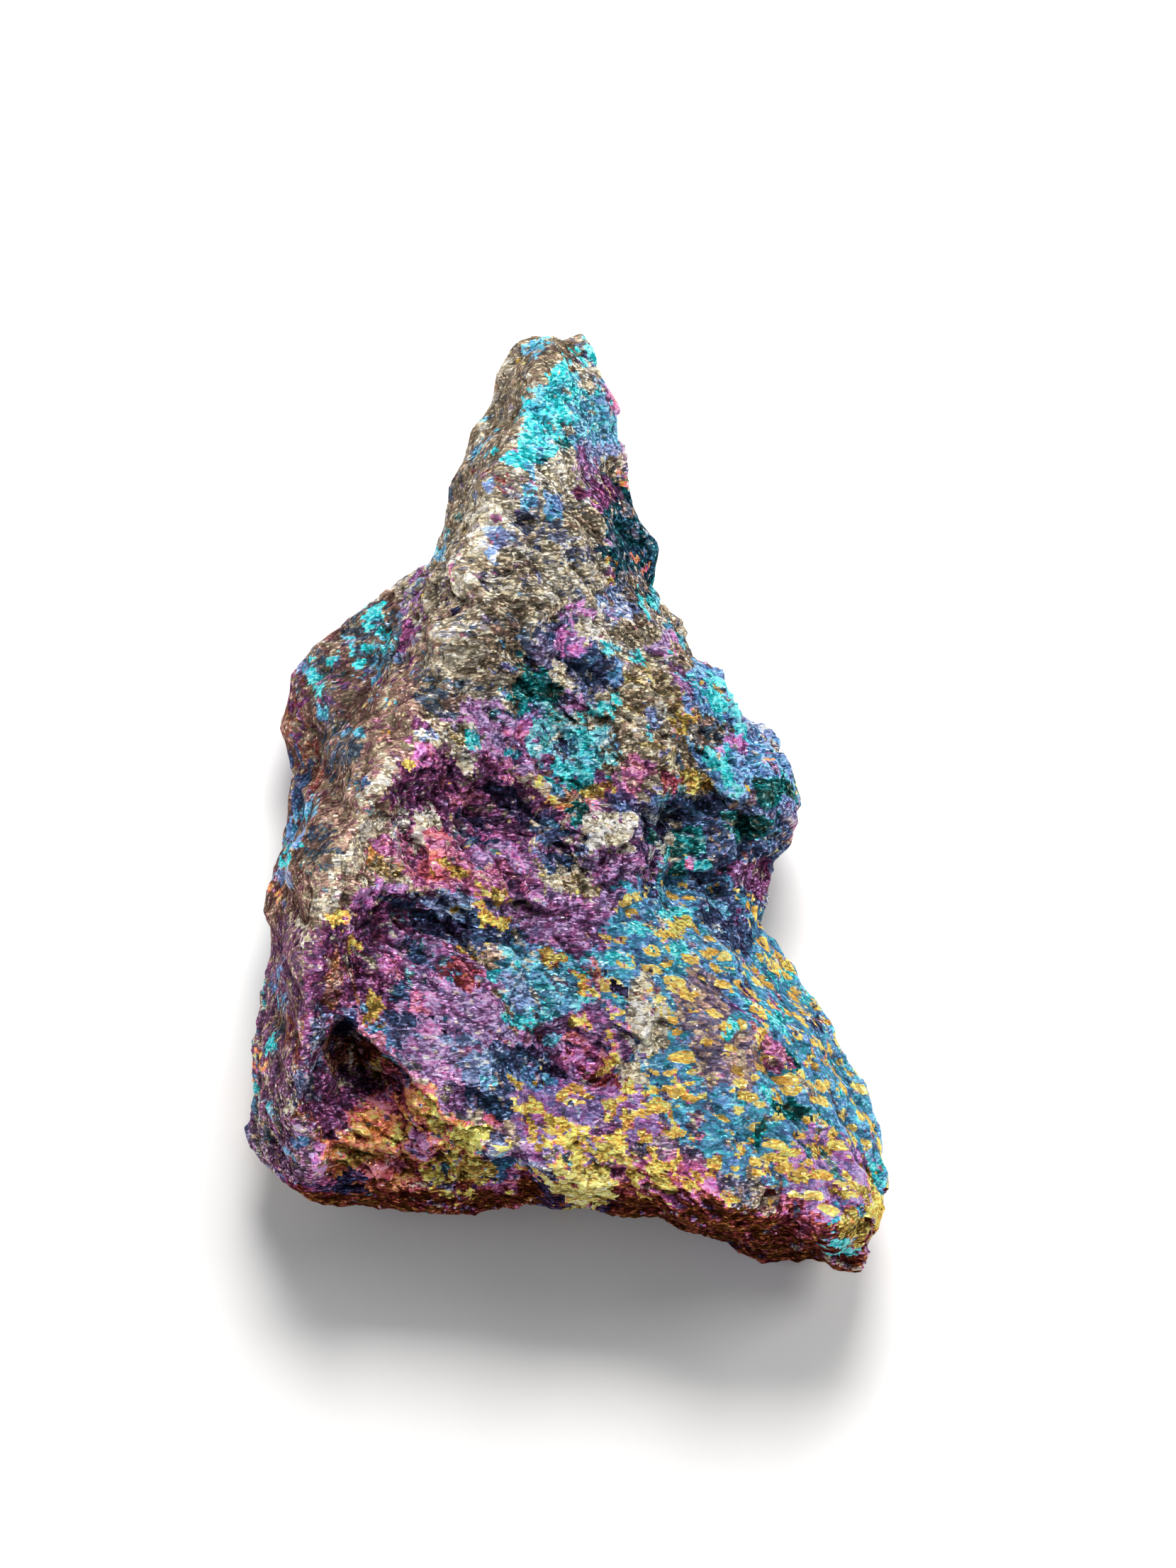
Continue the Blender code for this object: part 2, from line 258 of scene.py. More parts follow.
strength = np.full(len(points), RELIEF_SHARE)
for spot in CALM_AND_ROUGH:
    inside = 1.0 - ramp(mark_distance(spot, across, up), *SHARE_FADE)
    strength += (spot[0] - strength) * inside
heights = np.array([relief_at(Vector(p)) for p in points]) * strength
points = points + normals * heights[:, None]
points[:, 2] = np.maximum(points[:, 2], 0.0)
move_points(stone.data, points)
print("relief, mm:", np.round(heights.min(), 2), "to", np.round(heights.max(), 2))

# %% [markdown]
# ## Fewer faces where nobody looks closely
# The back keeps its lumps with far fewer triangles. Decimate takes a vertex group as a guide: where the
# weight is high, edges collapse first. A collapse can push a point below the floor, so the level places
# underneath are made level again.

# %% Thin out the back
TRIANGLES = 196000
STEPS = 10                                         # the guide's weight goes up in this many steps
LEAST_WEIGHT = 0.02                                # above none, so that the face gives a few triangles too

back = stone.vertex_groups.new(name="back")
turned_away = 1.0 - facing(normals_of(stone.data))
for step in range(STEPS + 1):
    members = np.nonzero(np.round(turned_away * STEPS) == step)[0]
    back.add(members.tolist(), max(LEAST_WEIGHT, step / STEPS), "REPLACE")
stone.data.calc_loop_triangles()
thin = stone.modifiers.new("fewer faces", "DECIMATE")
thin.ratio = TRIANGLES / len(stone.data.loop_triangles)
thin.vertex_group = "back"
thin.vertex_group_factor = 3.0
apply_all(stone)
stone.vertex_groups.clear()
points = points_of(stone.data)
points[:, 2] = np.maximum(points[:, 2], 0.0)
move_points(stone.data, points)
stone.data.calc_loop_triangles()
print("stone:", len(stone.data.loop_triangles), "triangles")

# %% [markdown]
# ## How thick the film is, and where
# One number says a place's colour: the film's thickness, from brass at 0 through orange, crimson,
# magenta, purple, blue and turquoise to dark olive at 1. Four more say how bright the place is, how much
# bare ore shows there, which tint that ore has, from silver to red brown, and how many gold spots it has.
# The brightness holds painted light and shade as well as the ore's own lighter and darker tarnish.
# Each could be a painted texture. Named looks do it in one word, and the pattern stays editable as text.

# %% The looks
# film thickness (None leaves it as it is), brightness, bare ore, tint of the bare ore, gold spots
LOOKS = {
    # painted highlight: lemon is gold made as bright as a glint
    "lemon": (0.00, 1.8, -0.5, 0.5, 0.0),
    "gold": (0.05, 1.40, -0.4, 0.5, 0.0),
    "old gold": (0.05, 0.62, 0.12, 0.75, 0.0),
    "orange": (0.14, 1.75, -0.5, 0.6, 0.0),
    "rust": (0.18, 1.3, -0.3, 0.9, 0.0),
    "crimson": (0.25, 1.8, -0.4, 0.9, 0.0),
    "maroon": (0.25, 0.34, -0.3, 1.0, 0.0),
    "pink": (0.33, 1.25, -0.2, 0.6, 0.0),
    "rose": (0.33, 0.90, 0.18, 0.95, 0.0),
    "magenta": (0.39, 1.9, -0.2, 0.5, 0.0),
    "plum": (0.38, 0.34, 0.12, 0.98, 0.0),
    "purple": (0.42, 0.80, 0.12, 0.85, 0.0),
    "lavender": (0.43, 1.42, 0.12, 0.7, 0.0),
    "indigo": (0.54, 0.55, 0.22, 0.5, 0.0),
    "navy": (0.58, 0.36, 0.10, 0.6, 0.0),
    "periwinkle": (0.58, 1.20, 0.20, 0.2, 0.0),
    "blue": (0.62, 1.15, -0.1, 0.2, 0.0),
    "slate": (0.66, 0.32, 0.48, 0.85, 0.0),
    "sky": (0.69, 1.10, 0.05, 0.2, 0.0),
    "cyan": (0.77, 1.25, -0.05, 0.2, 0.0),
    "turquoise": (0.79, 1.5, -0.15, 0.2, 0.0),
    "teal": (0.88, 0.55, 0.0, 0.5, 0.0),
    "dark teal": (0.90, 0.34, 0.0, 0.5, 0.0),
    # painted shade: black marks the pit, the cracks, the recess, the cave and the band under the magenta
    # ledge
    "black": (0.50, 0.17, 0.0, 0.5, 0.0),
    "cream": (None, 1.30, 0.90, 0.40, 0.0),
    "silver": (0.64, 1.15, 0.85, 0.55, 0.0),
    "tan": (0.60, 0.60, 0.68, 0.55, 0.0),
    "grey": (0.62, 0.31, 0.80, 0.66, 0.0),
    "umber": (0.34, 0.29, 0.70, 0.95, 0.0),
    "rosy tan": (0.36, 0.56, 0.72, 0.88, 0.0),
    # partly painted shade: dark brown paints the broad end, which turns away from the key lamp, and the cave
    "dark brown": (0.17, 0.15, -0.6, 1.0, 0.0),
    "olive": (0.06, 0.60, 0.60, 0.65, 0.0),
    "dusk": (0.56, 0.48, 0.42, 0.5, 0.0),
    "pale tan": (None, 0.88, 0.95, 0.42, 0.0),
    "red brown": (0.20, 0.42, 0.40, 1.0, 0.0),
    # painted highlight: plate is turquoise made as bright as a facet that catches the lamp
    "plate": (0.775, 2.0, -0.5, 0.2, 0.0),
    "earth": (0.50, 0.34, 0.85, 0.62, 0.0),
    "nugget": (0.01, 1.55, 0.20, 0.62, 0.0),
    # partly painted shade: deep slate darkens the right side of the upper face, which falls away
    "deep slate": (0.70, 0.13, 0.05, 0.7, 0.0),
    # painted light: fire brightens the gold pocket, which faces away from the key lamp
    "fire": (0.16, 1.75, -0.5, 0.8, 0.0),
    "dusky plum": (0.42, 0.40, 0.34, 0.85, 0.0),
    "soft grey": (0.62, 0.42, 0.80, 0.60, 0.0),
    "pale turquoise": (0.75, 1.60, 0.22, 0.05, 0.0),
    "spots on olive": (0.52, 0.62, 0.45, 0.9, 1.0),
    "spots on blue": (0.67, 0.74, 0.02, 0.5, 0.95),
    "spots on purple": (0.44, 1.10, 0.0, 0.5, 0.80),
    "spots on pink": (0.34, 1.00, -0.1, 0.5, 0.80),
}
print(len(LOOKS), "looks")

# %% [markdown]
# The marks go from large grounds to small accents, because a later mark covers an earlier one. Each is
# (look, across, up, half length, half width, turn in degrees), in mm on the face.

# %% The grounds under the marks
GROUNDS = [
    ("tan", -2, 18, 8, 7.5, 0), ("soft grey", -6, 25, 9, 2.6, 65), ("grey", -1.5, 32, 2.8, 2, 0),
    ("umber", -15.5, 9, 5, 7, 0), ("umber", -18, 1, 3, 8, 0), ("umber", -20, -10, 2.5, 11, 0),
    ("rosy tan", -11.5, 5.5, 2.4, 11, -28), ("rosy tan", -16, -4.5, 2.2, 8, -25),
    ("umber", -18.4, -14, 1.8, 7, 0), ("dusky plum", -19.4, -18, 3, 10, 0),
    ("deep slate", 4.4, 18.2, 4.8, 2.1, -78), ("tan", -6.5, 9.5, 4, 4.5, 0),
    ("indigo", 1, 9.5, 5.5, 3, -10), ("tan", 6, 10.5, 3.5, 3, -40), ("earth", 6.5, 4.5, 5, 4, -30),
    ("blue", 12, 4.5, 6.5, 3.2, -58), ("lavender", -4.5, 4.5, 5, 2.2, -10),
    ("plum", -6.5, -0.5, 6.5, 3.4, -12), ("rose", -7, -4.5, 7, 2.2, -12),
    ("red brown", -18, -19.5, 1.4, 5, 0), ("purple", 2.5, -5, 5.5, 3.5, -15), ("navy", 12, -3.5, 4.2, 4, 0),
    ("navy", 10.5, -8, 4, 2.5, 0), ("plum", -11.5, -10.5, 5.5, 4.5, -15),
    ("red brown", -16.6, -16, 1.6, 7, 0), ("navy", -6, -9.3, 5.5, 1.5, -6),
    ("purple", -8.5, -13, 5.5, 2.5, -30), ("lavender", -7, -16.8, 5.5, 4, -45),
    ("purple", -1, -8.5, 4.5, 2.5, -25), ("sky", -1.5, -12.6, 4.2, 2.2, -30),
    ("navy", -3.5, -20, 4, 2.6, -30), ("rust", -12.5, -24, 5, 4, 5), ("fire", -12.6, -23.2, 4.4, 2.8, 25),
    ("gold", -7.2, -25, 2.2, 1.9, 60), ("plum", -17, -14.5, 1.6, 6, 0), ("plum", -16.4, -20, 2.2, 3.4, 0),
    ("spots on blue", 12, -16.5, 13, 7.5, -55), ("spots on blue", 18, -21, 9, 4, -68),
    ("spots on olive", 10.3, -15.8, 4.6, 2.2, -62), ("spots on purple", 1, -22.5, 5.5, 4, -10),
    ("spots on purple", 18.3, -26.5, 3.4, 3.4, 0), ("spots on pink", 6.5, -26.8, 4.5, 1.3, -5),
    ("purple", 1.5, -17.5, 3.4, 2.6, -20),
]
print(len(GROUNDS), "grounds")

# %% [markdown]
# The upper face is a mix of silvery and tan grains with blue ones between them, under a patch of bright
# turquoise near the tip. Its right side falls away, dark blue with a few orange flecks: its own colour,
# darkened further as painted shade.

# %% Marks of the upper face
UPPER_MARKS = [
    ("cyan", -1.6, 26.6, 3.9, 1.8, 54), ("cyan", -3.1, 24.5, 1.7, 0.9, 15),
    ("cyan", -0.4, 29.8, 1.4, 0.7, 80), ("sky", 2, 26.4, 2.8, 1.7, -75), ("sky", 2.5, 29.2, 1.1, 0.5, -65),
    ("pale tan", 1.2, 30.3, 1.2, 0.8, -40), ("turquoise", 1, 32.9, 0.5, 0.8, 0),
    ("turquoise", 1.5, 31.6, 0.5, 0.6, 0), ("sky", -2.3, 31.8, 1.2, 0.3, 55),
    ("teal", -0.1, 25.4, 0.6, 0.5, 0), ("periwinkle", 2.6, 24.6, 1.2, 0.8, 0),
    ("purple", 1.7, 23.6, 0.8, 0.7, 0), ("lavender", 0.6, 23.3, 0.9, 0.6, 0),
    ("pale tan", -1, 22.9, 2.4, 0.7, 0), ("sky", -2.6, 22.6, 0.5, 1.3, 0), ("sky", -2.8, 20.9, 0.6, 0.9, 0),
    ("pale tan", -5.4, 19.8, 2, 1.5, 10), ("periwinkle", -5.6, 22, 0.4, 0.7, -30),
    ("red brown", -4.8, 22.3, 0.7, 0.16, -40), ("sky", -5.9, 24.8, 0.4, 0.9, 0),
    ("pale tan", -6.1, 26.4, 0.4, 0.9, 0), ("blue", -0.7, 20.9, 0.6, 1.4, 0),
    ("dusk", -2.6, 19.4, 1.1, 0.9, 30), ("dusk", -0.7, 18.2, 0.5, 1.3, 0), ("dusk", 0.5, 17.3, 1.3, 0.6, 0),
    ("periwinkle", -4.6, 18.2, 0.9, 1.3, 0), ("dusk", -6.2, 15.3, 0.7, 0.6, 0),
    ("earth", -3.4, 17, 1.3, 0.9, -30), ("pale tan", -1.4, 15, 0.9, 1.2, 0),
    ("pale tan", -7.6, 15.6, 0.8, 1.2, 20), ("plum", 2.4, 21.6, 1.5, 1, -20),
    ("earth", 1.5, 19.4, 1.3, 1.1, 0), ("orange", 4.2, 22.8, 0.5, 0.35, -20),
    ("crimson", 4.8, 22, 0.35, 0.9, 10), ("slate", 4.1, 20.8, 0.45, 0.45, 0),
    ("rust", 4.7, 17.3, 0.28, 0.2, 0), ("rust", 5.6, 16.3, 0.36, 0.24, 0), ("slate", 4.6, 15.2, 1.2, 1, 0),
    ("cyan", 6, 14.1, 0.55, 0.5, 0), ("cyan", 5.1, 13.4, 0.35, 0.6, 0),
    ("old gold", 2.9, 15.6, 0.3, 0.9, 0), ("periwinkle", 3.4, 14, 0.9, 1.2, 0),
    ("magenta", 1.3, 13.9, 0.8, 0.5, 0), ("lavender", 1.5, 13, 1.6, 0.7, 0),
    ("earth", -4.5, 13.6, 3.2, 0.9, 0), ("slate", -4.6, 12.3, 2, 0.7, 0),
    ("slate", -8.6, 21.6, 0.4, 1.5, -10), ("sky", -9.4, 17.4, 0.4, 0.9, -20),
    ("purple", -10, 16.2, 0.4, 0.9, -20), ("earth", -9.4, 14.6, 1.1, 2.4, -20),
    ("black", -8.2, 13.6, 0.2, 0.4, 0),
]
print(len(UPPER_MARKS), "marks on the upper face")

# %% [markdown]
# The left flank is smooth and brown, crossed by feathers of turquoise. The crest beside it glitters in
# cream and tan all the way down.

# %% Marks of the left flank
LEFT_MARKS = [
    ("slate", -13.6, 11.5, 2.2, 2.6, 20), ("slate", -17.5, 8.5, 1.6, 2.6, 20),
    ("slate", -16, 4, 1.4, 2.4, 0), ("turquoise", -13.2, 13.1, 0.8, 0.5, 30),
    ("cyan", -13, 11.6, 0.28, 1.5, 25), ("sky", -13.9, 9.8, 0.25, 1.2, -25),
    ("turquoise", -14.5, 10.4, 0.25, 1, -30), ("sky", -13.5, 8.5, 0.5, 1, -25),
    ("cyan", -15.2, 11, 0.35, 0.6, 0), ("turquoise", -16.4, 10.2, 0.4, 0.4, 0),
    ("turquoise", -17.9, 9.9, 0.35, 0.4, 0), ("periwinkle", -18.7, 9, 0.6, 0.5, 0),
    ("cyan", -17.8, 8.3, 0.6, 1, 30), ("sky", -17, 6.2, 0.3, 0.8, 20), ("pink", -11.2, 11.7, 0.35, 0.4, 0),
    ("plum", -11.4, 10.8, 0.5, 2.2, -15), ("purple", -10.7, 14.4, 0.35, 1.2, -10),
    ("sky", -14.9, 4.7, 0.5, 0.3, -40), ("sky", -12.2, 6.8, 0.3, 0.3, 0),
    ("periwinkle", -12, 9.4, 0.3, 0.3, 0), ("plum", -18.9, 6, 0.4, 2.2, 5),
    ("red brown", -19.7, 4.6, 0.4, 2.4, 0), ("red brown", -18.2, 3.6, 0.35, 3, 8),
    ("navy", -18.9, 3.2, 0.35, 1.2, 5), ("red brown", -17.1, 1.4, 0.5, 1, -20),
    ("navy", -19, 0.6, 0.5, 1.2, 0), ("sky", -18.4, -0.6, 0.4, 0.9, -30),
    ("blue", -19.2, -2.2, 0.7, 1, -30), ("cyan", -19.8, -3.5, 0.5, 0.7, -20),
    ("periwinkle", -20, -5, 0.6, 0.8, 0), ("orange", -20.7, -6.4, 0.4, 0.5, 0),
    ("slate", -17.2, -3.4, 1.4, 1.3, -40), ("sky", -20.1, -14.3, 0.4, 0.6, 0),
    ("blue", -20.1, -12.6, 0.3, 0.7, 0), ("turquoise", -21.2, -17, 0.4, 0.4, 0),
    ("orange", -21.9, -18.6, 0.4, 0.8, 0), ("slate", -20.3, -16, 0.6, 1, 0),
    ("pale tan", -12.8, 1.6, 0.5, 1.6, -35), ("pale tan", -14.6, -3, 0.6, 2.4, -38),
    ("pale tan", -17, -7, 0.7, 1.4, -20), ("gold", -16.1, -8.7, 0.7, 1, 10),
    ("gold", -15.1, -10.6, 0.4, 0.8, 0), ("navy", -14.4, 1.4, 0.35, 0.5, 0),
    ("cream", -18.6, -8.4, 0.35, 0.9, 0), ("cream", -19.2, -20.6, 0.22, 1.3, 5),
    ("purple", -18.5, -23.2, 0.8, 0.6, 0), ("magenta", -17.6, -25.1, 0.3, 0.8, 0),
    ("blue", -18.9, -24.4, 0.5, 0.5, 0), ("sky", -21.5, -21.9, 0.3, 0.6, 0),
    ("indigo", -18.5, -20, 0.9, 0.9, 0), ("slate", -21, -23.6, 0.6, 1.3, 0),
    ("indigo", -17.4, -16.6, 0.6, 1.6, 0), ("periwinkle", -17.4, -18.4, 0.35, 0.8, 0),
    ("red brown", -16.4, -17.6, 0.5, 1.6, 0), ("red brown", -16.8, -12.6, 0.6, 2, 0),
]
print(len(LEFT_MARKS), "marks on the left flank")

# %% [markdown]
# The broken middle has the most contrast: bright turquoise and silver facets stand beside hollows that
# are painted nearly black, as painted shade: the pit on the right, the cracks beside it and the recess
# left of the middle. The plate marks are turquoise facets painted extra bright, as painted highlights.

# %% Marks of the middle
MIDDLE_MARKS = [
    ("earth", -5.5, 10, 3.2, 1.7, -10), ("slate", -8.8, 7.3, 1.5, 1.2, 0),
    ("silver", -8.3, 4.8, 2.3, 1.2, -20), ("cream", -7.4, 2.7, 0.8, 0.8, 0),
    ("olive", -7.3, 4.5, 0.9, 0.6, -20), ("periwinkle", -9.7, 5, 0.9, 0.6, 0),
    ("plum", -10.2, 5.5, 0.6, 0.4, 0), ("cyan", -6.7, 4.2, 0.35, 0.6, 0), ("pink", -3.4, 5.2, 1.3, 0.5, 10),
    ("cyan", -3.9, 3.7, 0.8, 0.45, 15), ("dark teal", -2.4, 8.2, 1.8, 1.4, -20),
    ("navy", 2.4, 9.4, 2.4, 1.2, -15), ("blue", 4, 9.2, 0.5, 0.8, -30),
    ("magenta", 0.6, 11.2, 1.3, 0.7, -15), ("cream", 2.2, 11.6, 1.3, 0.8, -10),
    ("cyan", 3.5, 10.7, 0.6, 0.35, 0), ("cyan", 5, 9.9, 0.3, 0.55, 0), ("silver", -0.6, 9, 1.5, 0.7, -30),
    ("lavender", 0.7, 7.4, 1.3, 0.5, -30), ("cyan", 2.8, 6.6, 1.2, 0.55, 28),
    ("cyan", -0.6, 5.7, 0.8, 0.5, 50), ("pale turquoise", 0.3, 4, 3, 1.8, -8),
    ("cream", -0.9, 4.4, 0.5, 0.3, -40), ("plate", 0.8, 4.5, 1.7, 0.5, -18),
    ("plate", -0.8, 2.9, 0.8, 0.35, -35), ("sky", 1.9, 3, 0.9, 0.4, -20),
    ("turquoise", 1, 2, 2.1, 0.7, -12), ("teal", 1.4, 1.2, 1.8, 0.4, -12),
    ("navy", -0.8, 3.7, 0.6, 0.5, -40), ("sky", -0.4, 0.9, 0.8, 0.35, -15),
    ("gold", -1.9, 1.5, 0.4, 0.35, 0), ("gold", -0.7, 0.6, 0.45, 0.3, -30),
    ("old gold", 2.6, 0.9, 1.2, 0.6, 10), ("dark teal", 0.9, -0.7, 0.9, 0.8, 0),
    ("rust", 0.2, 0, 0.6, 0.4, 0), ("olive", 5.4, 8.3, 1, 1.1, -30), ("olive", 7.1, 7.3, 1.5, 0.6, -55),
    ("olive", 4.9, 6.2, 1.3, 0.8, -30), ("old gold", 8.6, 5.6, 1.1, 0.6, -25),
    ("periwinkle", 6.3, 6, 0.8, 0.8, 0), ("cyan", 5.9, 4.9, 0.5, 0.4, 40), ("olive", 7, 3.2, 2.5, 0.7, -28),
    ("old gold", 9, 1.4, 1.1, 0.9, -20), ("rose", 4.8, 1.9, 0.9, 1.3, 20), ("earth", 5.2, 12.2, 1.2, 1, 0),
    ("grey", 8.1, 10.1, 0.8, 1, 0), ("lavender", 6.8, 11.2, 0.8, 1.1, 0), ("cyan", 7.8, 11.2, 0.4, 0.4, 0),
    ("sky", 6.9, 12.6, 0.5, 0.5, 0), ("sky", 8.7, 8.9, 0.5, 0.7, 0), ("cyan", 9.2, 7.9, 0.4, 0.9, 30),
    ("purple", 8.1, 8, 0.5, 1.3, 35), ("plate", 11, 7.5, 1.5, 1, -40), ("plate", 11.8, 5.9, 1.5, 0.7, -58),
    ("slate", 9.8, 4.9, 1.3, 1.1, 0), ("magenta", 11.5, 4.5, 0.9, 0.7, -30),
    ("periwinkle", 13.6, 5, 1, 0.5, -50), ("turquoise", 10.7, 3.2, 1.1, 0.7, -20),
    ("cyan", 11.8, 2, 1.5, 0.5, -70), ("orange", 14.2, 3.2, 0.4, 0.3, 0),
    ("dark teal", 14.8, 0.8, 1.3, 1.3, 0), ("old gold", 13.5, 0.3, 0.5, 0.4, 0),
    ("periwinkle", 13, -0.9, 2.6, 0.4, -14), ("dark teal", 13, -1.9, 1.7, 0.6, 0),
    ("maroon", 7.6, 1.2, 1, 0.7, -30), ("navy", 9, -0.9, 2, 0.8, -4), ("black", 6.8, -1.2, 1.5, 0.2, 40),
    ("black", 5.9, -3, 0.18, 1.4, -6), ("black", 5.6, -5, 0.16, 1.2, 8),
    ("navy", 11.4, -8.5, 2.4, 1.5, -40), ("black", 6.7, -1.9, 0.35, 0.9, -25),
    ("dark teal", 8, -3, 1.6, 0.9, 12), ("teal", 8.9, -2.8, 0.7, 0.5, 0), ("teal", 8.1, -4.9, 0.8, 0.7, 0),
    ("cyan", 7.4, -3.6, 0.5, 0.25, 40), ("cyan", 9.7, -4.6, 0.9, 0.32, 5),
    ("pink", 8.8, -4.3, 0.28, 0.22, 0), ("navy", 9.5, -5.8, 1.1, 0.6, 0), ("plum", 13, -5.2, 1.7, 1.3, 0),
    ("magenta", 12.4, -5, 0.5, 0.25, 0), ("sky", 6.5, -5.4, 0.5, 1.4, 0),
    ("sky", 10.4, -7.7, 0.6, 0.3, -20), ("cream", 2.6, -2.3, 2.4, 1.3, 24),
    ("periwinkle", 1.2, -3.6, 0.8, 0.5, 0), ("silver", 0.2, -5, 1.9, 1.1, -20),
    ("olive", 0.9, -6, 1.2, 0.6, -20), ("black", -3.2, -0.5, 2.6, 1.2, -32),
    ("navy", -1.2, -1.9, 1.2, 0.8, -20), ("plum", -9.2, 0.9, 1.8, 1, 0), ("rose", -7.4, 0.4, 1, 0.9, 0),
    ("pink", -4, 2.4, 0.5, 0.9, 20), ("pink", -9.6, 3, 1.3, 0.6, -35), ("black", -6.6, -1, 1.2, 0.2, -30),
    ("navy", -0.6, -4, 1.3, 0.4, -40), ("gold", -10.8, 2.3, 0.8, 0.6, 0), ("cream", -10, -1.5, 1, 0.8, 0),
    ("cream", -10.5, -3, 0.5, 1, 10), ("crimson", -9, -2.5, 1.1, 0.6, -10),
    ("crimson", -9.1, -4.5, 1, 0.6, -15), ("navy", -6, -2.7, 2, 0.8, -25),
    ("magenta", -4.6, -2.9, 1.6, 0.35, -25), ("lavender", -4.8, -4.1, 2.6, 0.7, -20),
    ("old gold", -7.5, -4.9, 0.8, 0.3, -15), ("old gold", -5, -6.6, 1.5, 0.4, -30),
    ("pink", -2.9, -6.4, 1.3, 0.28, -65), ("olive", -13, -4.7, 1.3, 0.7, 0),
    ("orange", -13.6, -3.9, 0.7, 0.3, 10), ("rose", -12.5, -2.9, 1.2, 0.5, 30),
]
print(len(MIDDLE_MARKS), "marks in the middle")

# %% [markdown]
# Under the middle a magenta ledge overhangs a dark band, painted black as painted shadow, then the slab
# lies like a violet tile. Under its brink are a small cave, painted black and dark brown as painted shade,
# and the gold pocket. The pocket turns away from the key lamp, so its fire, orange and crimson looks are
# painted bright as painted light, and its lemon marks are painted highlights.

# %% Marks of the lower left
LOWER_LEFT_MARKS = [
    ("magenta", -13.4, -6.4, 2.3, 0.7, 3), ("magenta", -14.7, -7, 0.7, 0.7, 0),
    ("periwinkle", -8.9, -7.1, 1.5, 0.7, -12), ("navy", -11.8, -7.3, 1.5, 0.5, 0),
    ("black", -8.2, -9, 2.6, 0.8, -3), ("plum", -13.4, -9.2, 1.9, 0.8, 0),
    ("navy", -4.4, -9.5, 1.9, 0.7, -8), ("gold", -5.2, -8.5, 1.1, 0.25, -30),
    ("gold", -3.6, -9.4, 0.6, 0.25, -50), ("gold", -7.2, -10.5, 0.8, 0.25, -12),
    ("old gold", -1.5, -10.8, 1.1, 0.4, -42), ("maroon", -7.8, -12, 1.8, 0.9, -38),
    ("pink", -12.8, -11.5, 0.9, 0.5, -20), ("navy", -10.6, -11, 1.4, 0.4, -30),
    ("black", -9.4, -14.9, 1.3, 0.16, -35), ("rose", -11.3, -12.9, 1.6, 0.4, -35),
    ("pink", -10.2, -14.1, 1.1, 0.5, -40), ("navy", -12, -13.3, 1, 0.45, -20),
    ("old gold", -13.7, -14.7, 0.5, 1.2, 15), ("navy", -11.6, -15.3, 1.4, 0.7, -10),
    ("lavender", -8.4, -14.2, 1.5, 0.9, -30), ("periwinkle", -6.8, -17.8, 2.2, 1.3, -40),
    ("lavender", -9, -18, 1.6, 1.3, -45), ("rose", -13.6, -16.3, 2.9, 0.28, -42),
    ("rose", -11.4, -18.7, 1.4, 0.3, -52), ("black", -15.3, -15.8, 0.8, 0.8, -40),
    # painted highlight: the small cream mark in the cave is a glint
    ("dark brown", -14.4, -17.6, 1.4, 1.1, -30), ("cream", -15.3, -18.1, 0.3, 0.8, -15),
    ("old gold", -13.4, -18.9, 0.7, 0.5, 0), ("plum", -15.8, -20.5, 1.4, 0.9, 0),
    ("maroon", -12.4, -19.6, 1, 0.5, -50), ("magenta", -13, -21.2, 0.8, 0.6, -20),
    ("orange", -13.4, -23.2, 2.4, 1, 15), ("crimson", -14.6, -22.2, 1.6, 0.6, 30),
    ("gold", -11.9, -24.3, 0.4, 0.8, 10), ("orange", -11.4, -22.6, 1, 0.9, 0),
    ("fire", -13.2, -25.2, 1.6, 0.9, 10), ("crimson", -9.6, -24.9, 1.4, 0.5, -58),
    ("magenta", -10.6, -24.2, 1.5, 0.35, -60), ("crimson", -12.6, -21.4, 1.3, 0.4, -50),
    ("maroon", -11, -22.4, 1.5, 0.22, -62), ("gold", -9.3, -22.4, 0.7, 1.5, 25),
    ("lemon", -6.7, -23.8, 1.4, 0.8, -50), ("lemon", -9.3, -21.6, 0.8, 0.3, -60),
    ("lemon", -12, -24, 0.3, 0.8, 10), ("rust", -8.1, -24.6, 0.3, 1.3, 25),
    ("maroon", -9.4, -25.6, 1.2, 0.25, 50), ("gold", -8.8, -26.4, 1.2, 1.1, 0),
    ("old gold", -6.4, -25.9, 1, 0.8, 0), ("crimson", -12.6, -26.4, 1.6, 0.7, 0),
    ("fire", -14.4, -24.4, 1.4, 0.8, -20), ("old gold", -14.8, -25.4, 1.2, 0.8, 0),
    ("black", -15.6, -27.1, 1.7, 0.6, -5), ("lemon", -7.6, -27.8, 0.7, 0.2, 10),
    ("pink", -4.3, -26.6, 1.1, 0.4, 25), ("orange", -2.8, -26.1, 1, 0.25, -5),
    ("crimson", -5.8, -22.8, 0.7, 0.5, -40), ("navy", -5.4, -21.4, 1.5, 0.8, -30),
    ("purple", -8.2, -21, 1, 0.8, -40), ("sky", -5.3, -19.8, 0.6, 0.5, 0),
    ("blue", -2.5, -19.6, 1.1, 0.5, 0), ("cyan", -2.7, -15, 1.2, 0.8, -20), ("sky", -0.8, -17, 1, 0.5, 0),
    ("cyan", -5.4, -12, 0.5, 0.5, 0), ("cyan", -3.1, -11.6, 0.7, 0.3, -20),
    ("periwinkle", -3.4, -12.8, 1.4, 0.7, -30), ("black", -3, -17.7, 0.9, 0.22, -10),
    ("black", -1.2, -18.9, 0.9, 0.3, -10), ("lavender", -3.6, -24.4, 0.6, 0.6, 0),
    ("indigo", -5, -24.5, 0.9, 0.8, 0),
]
print(len(LOWER_LEFT_MARKS), "marks on the lower left")

# %% [markdown]
# The lower right is a calm field of blue, violet and pink, sown with gold spots. A silver streak runs
# down its left side, and lumps of bare gold sit on the brink.

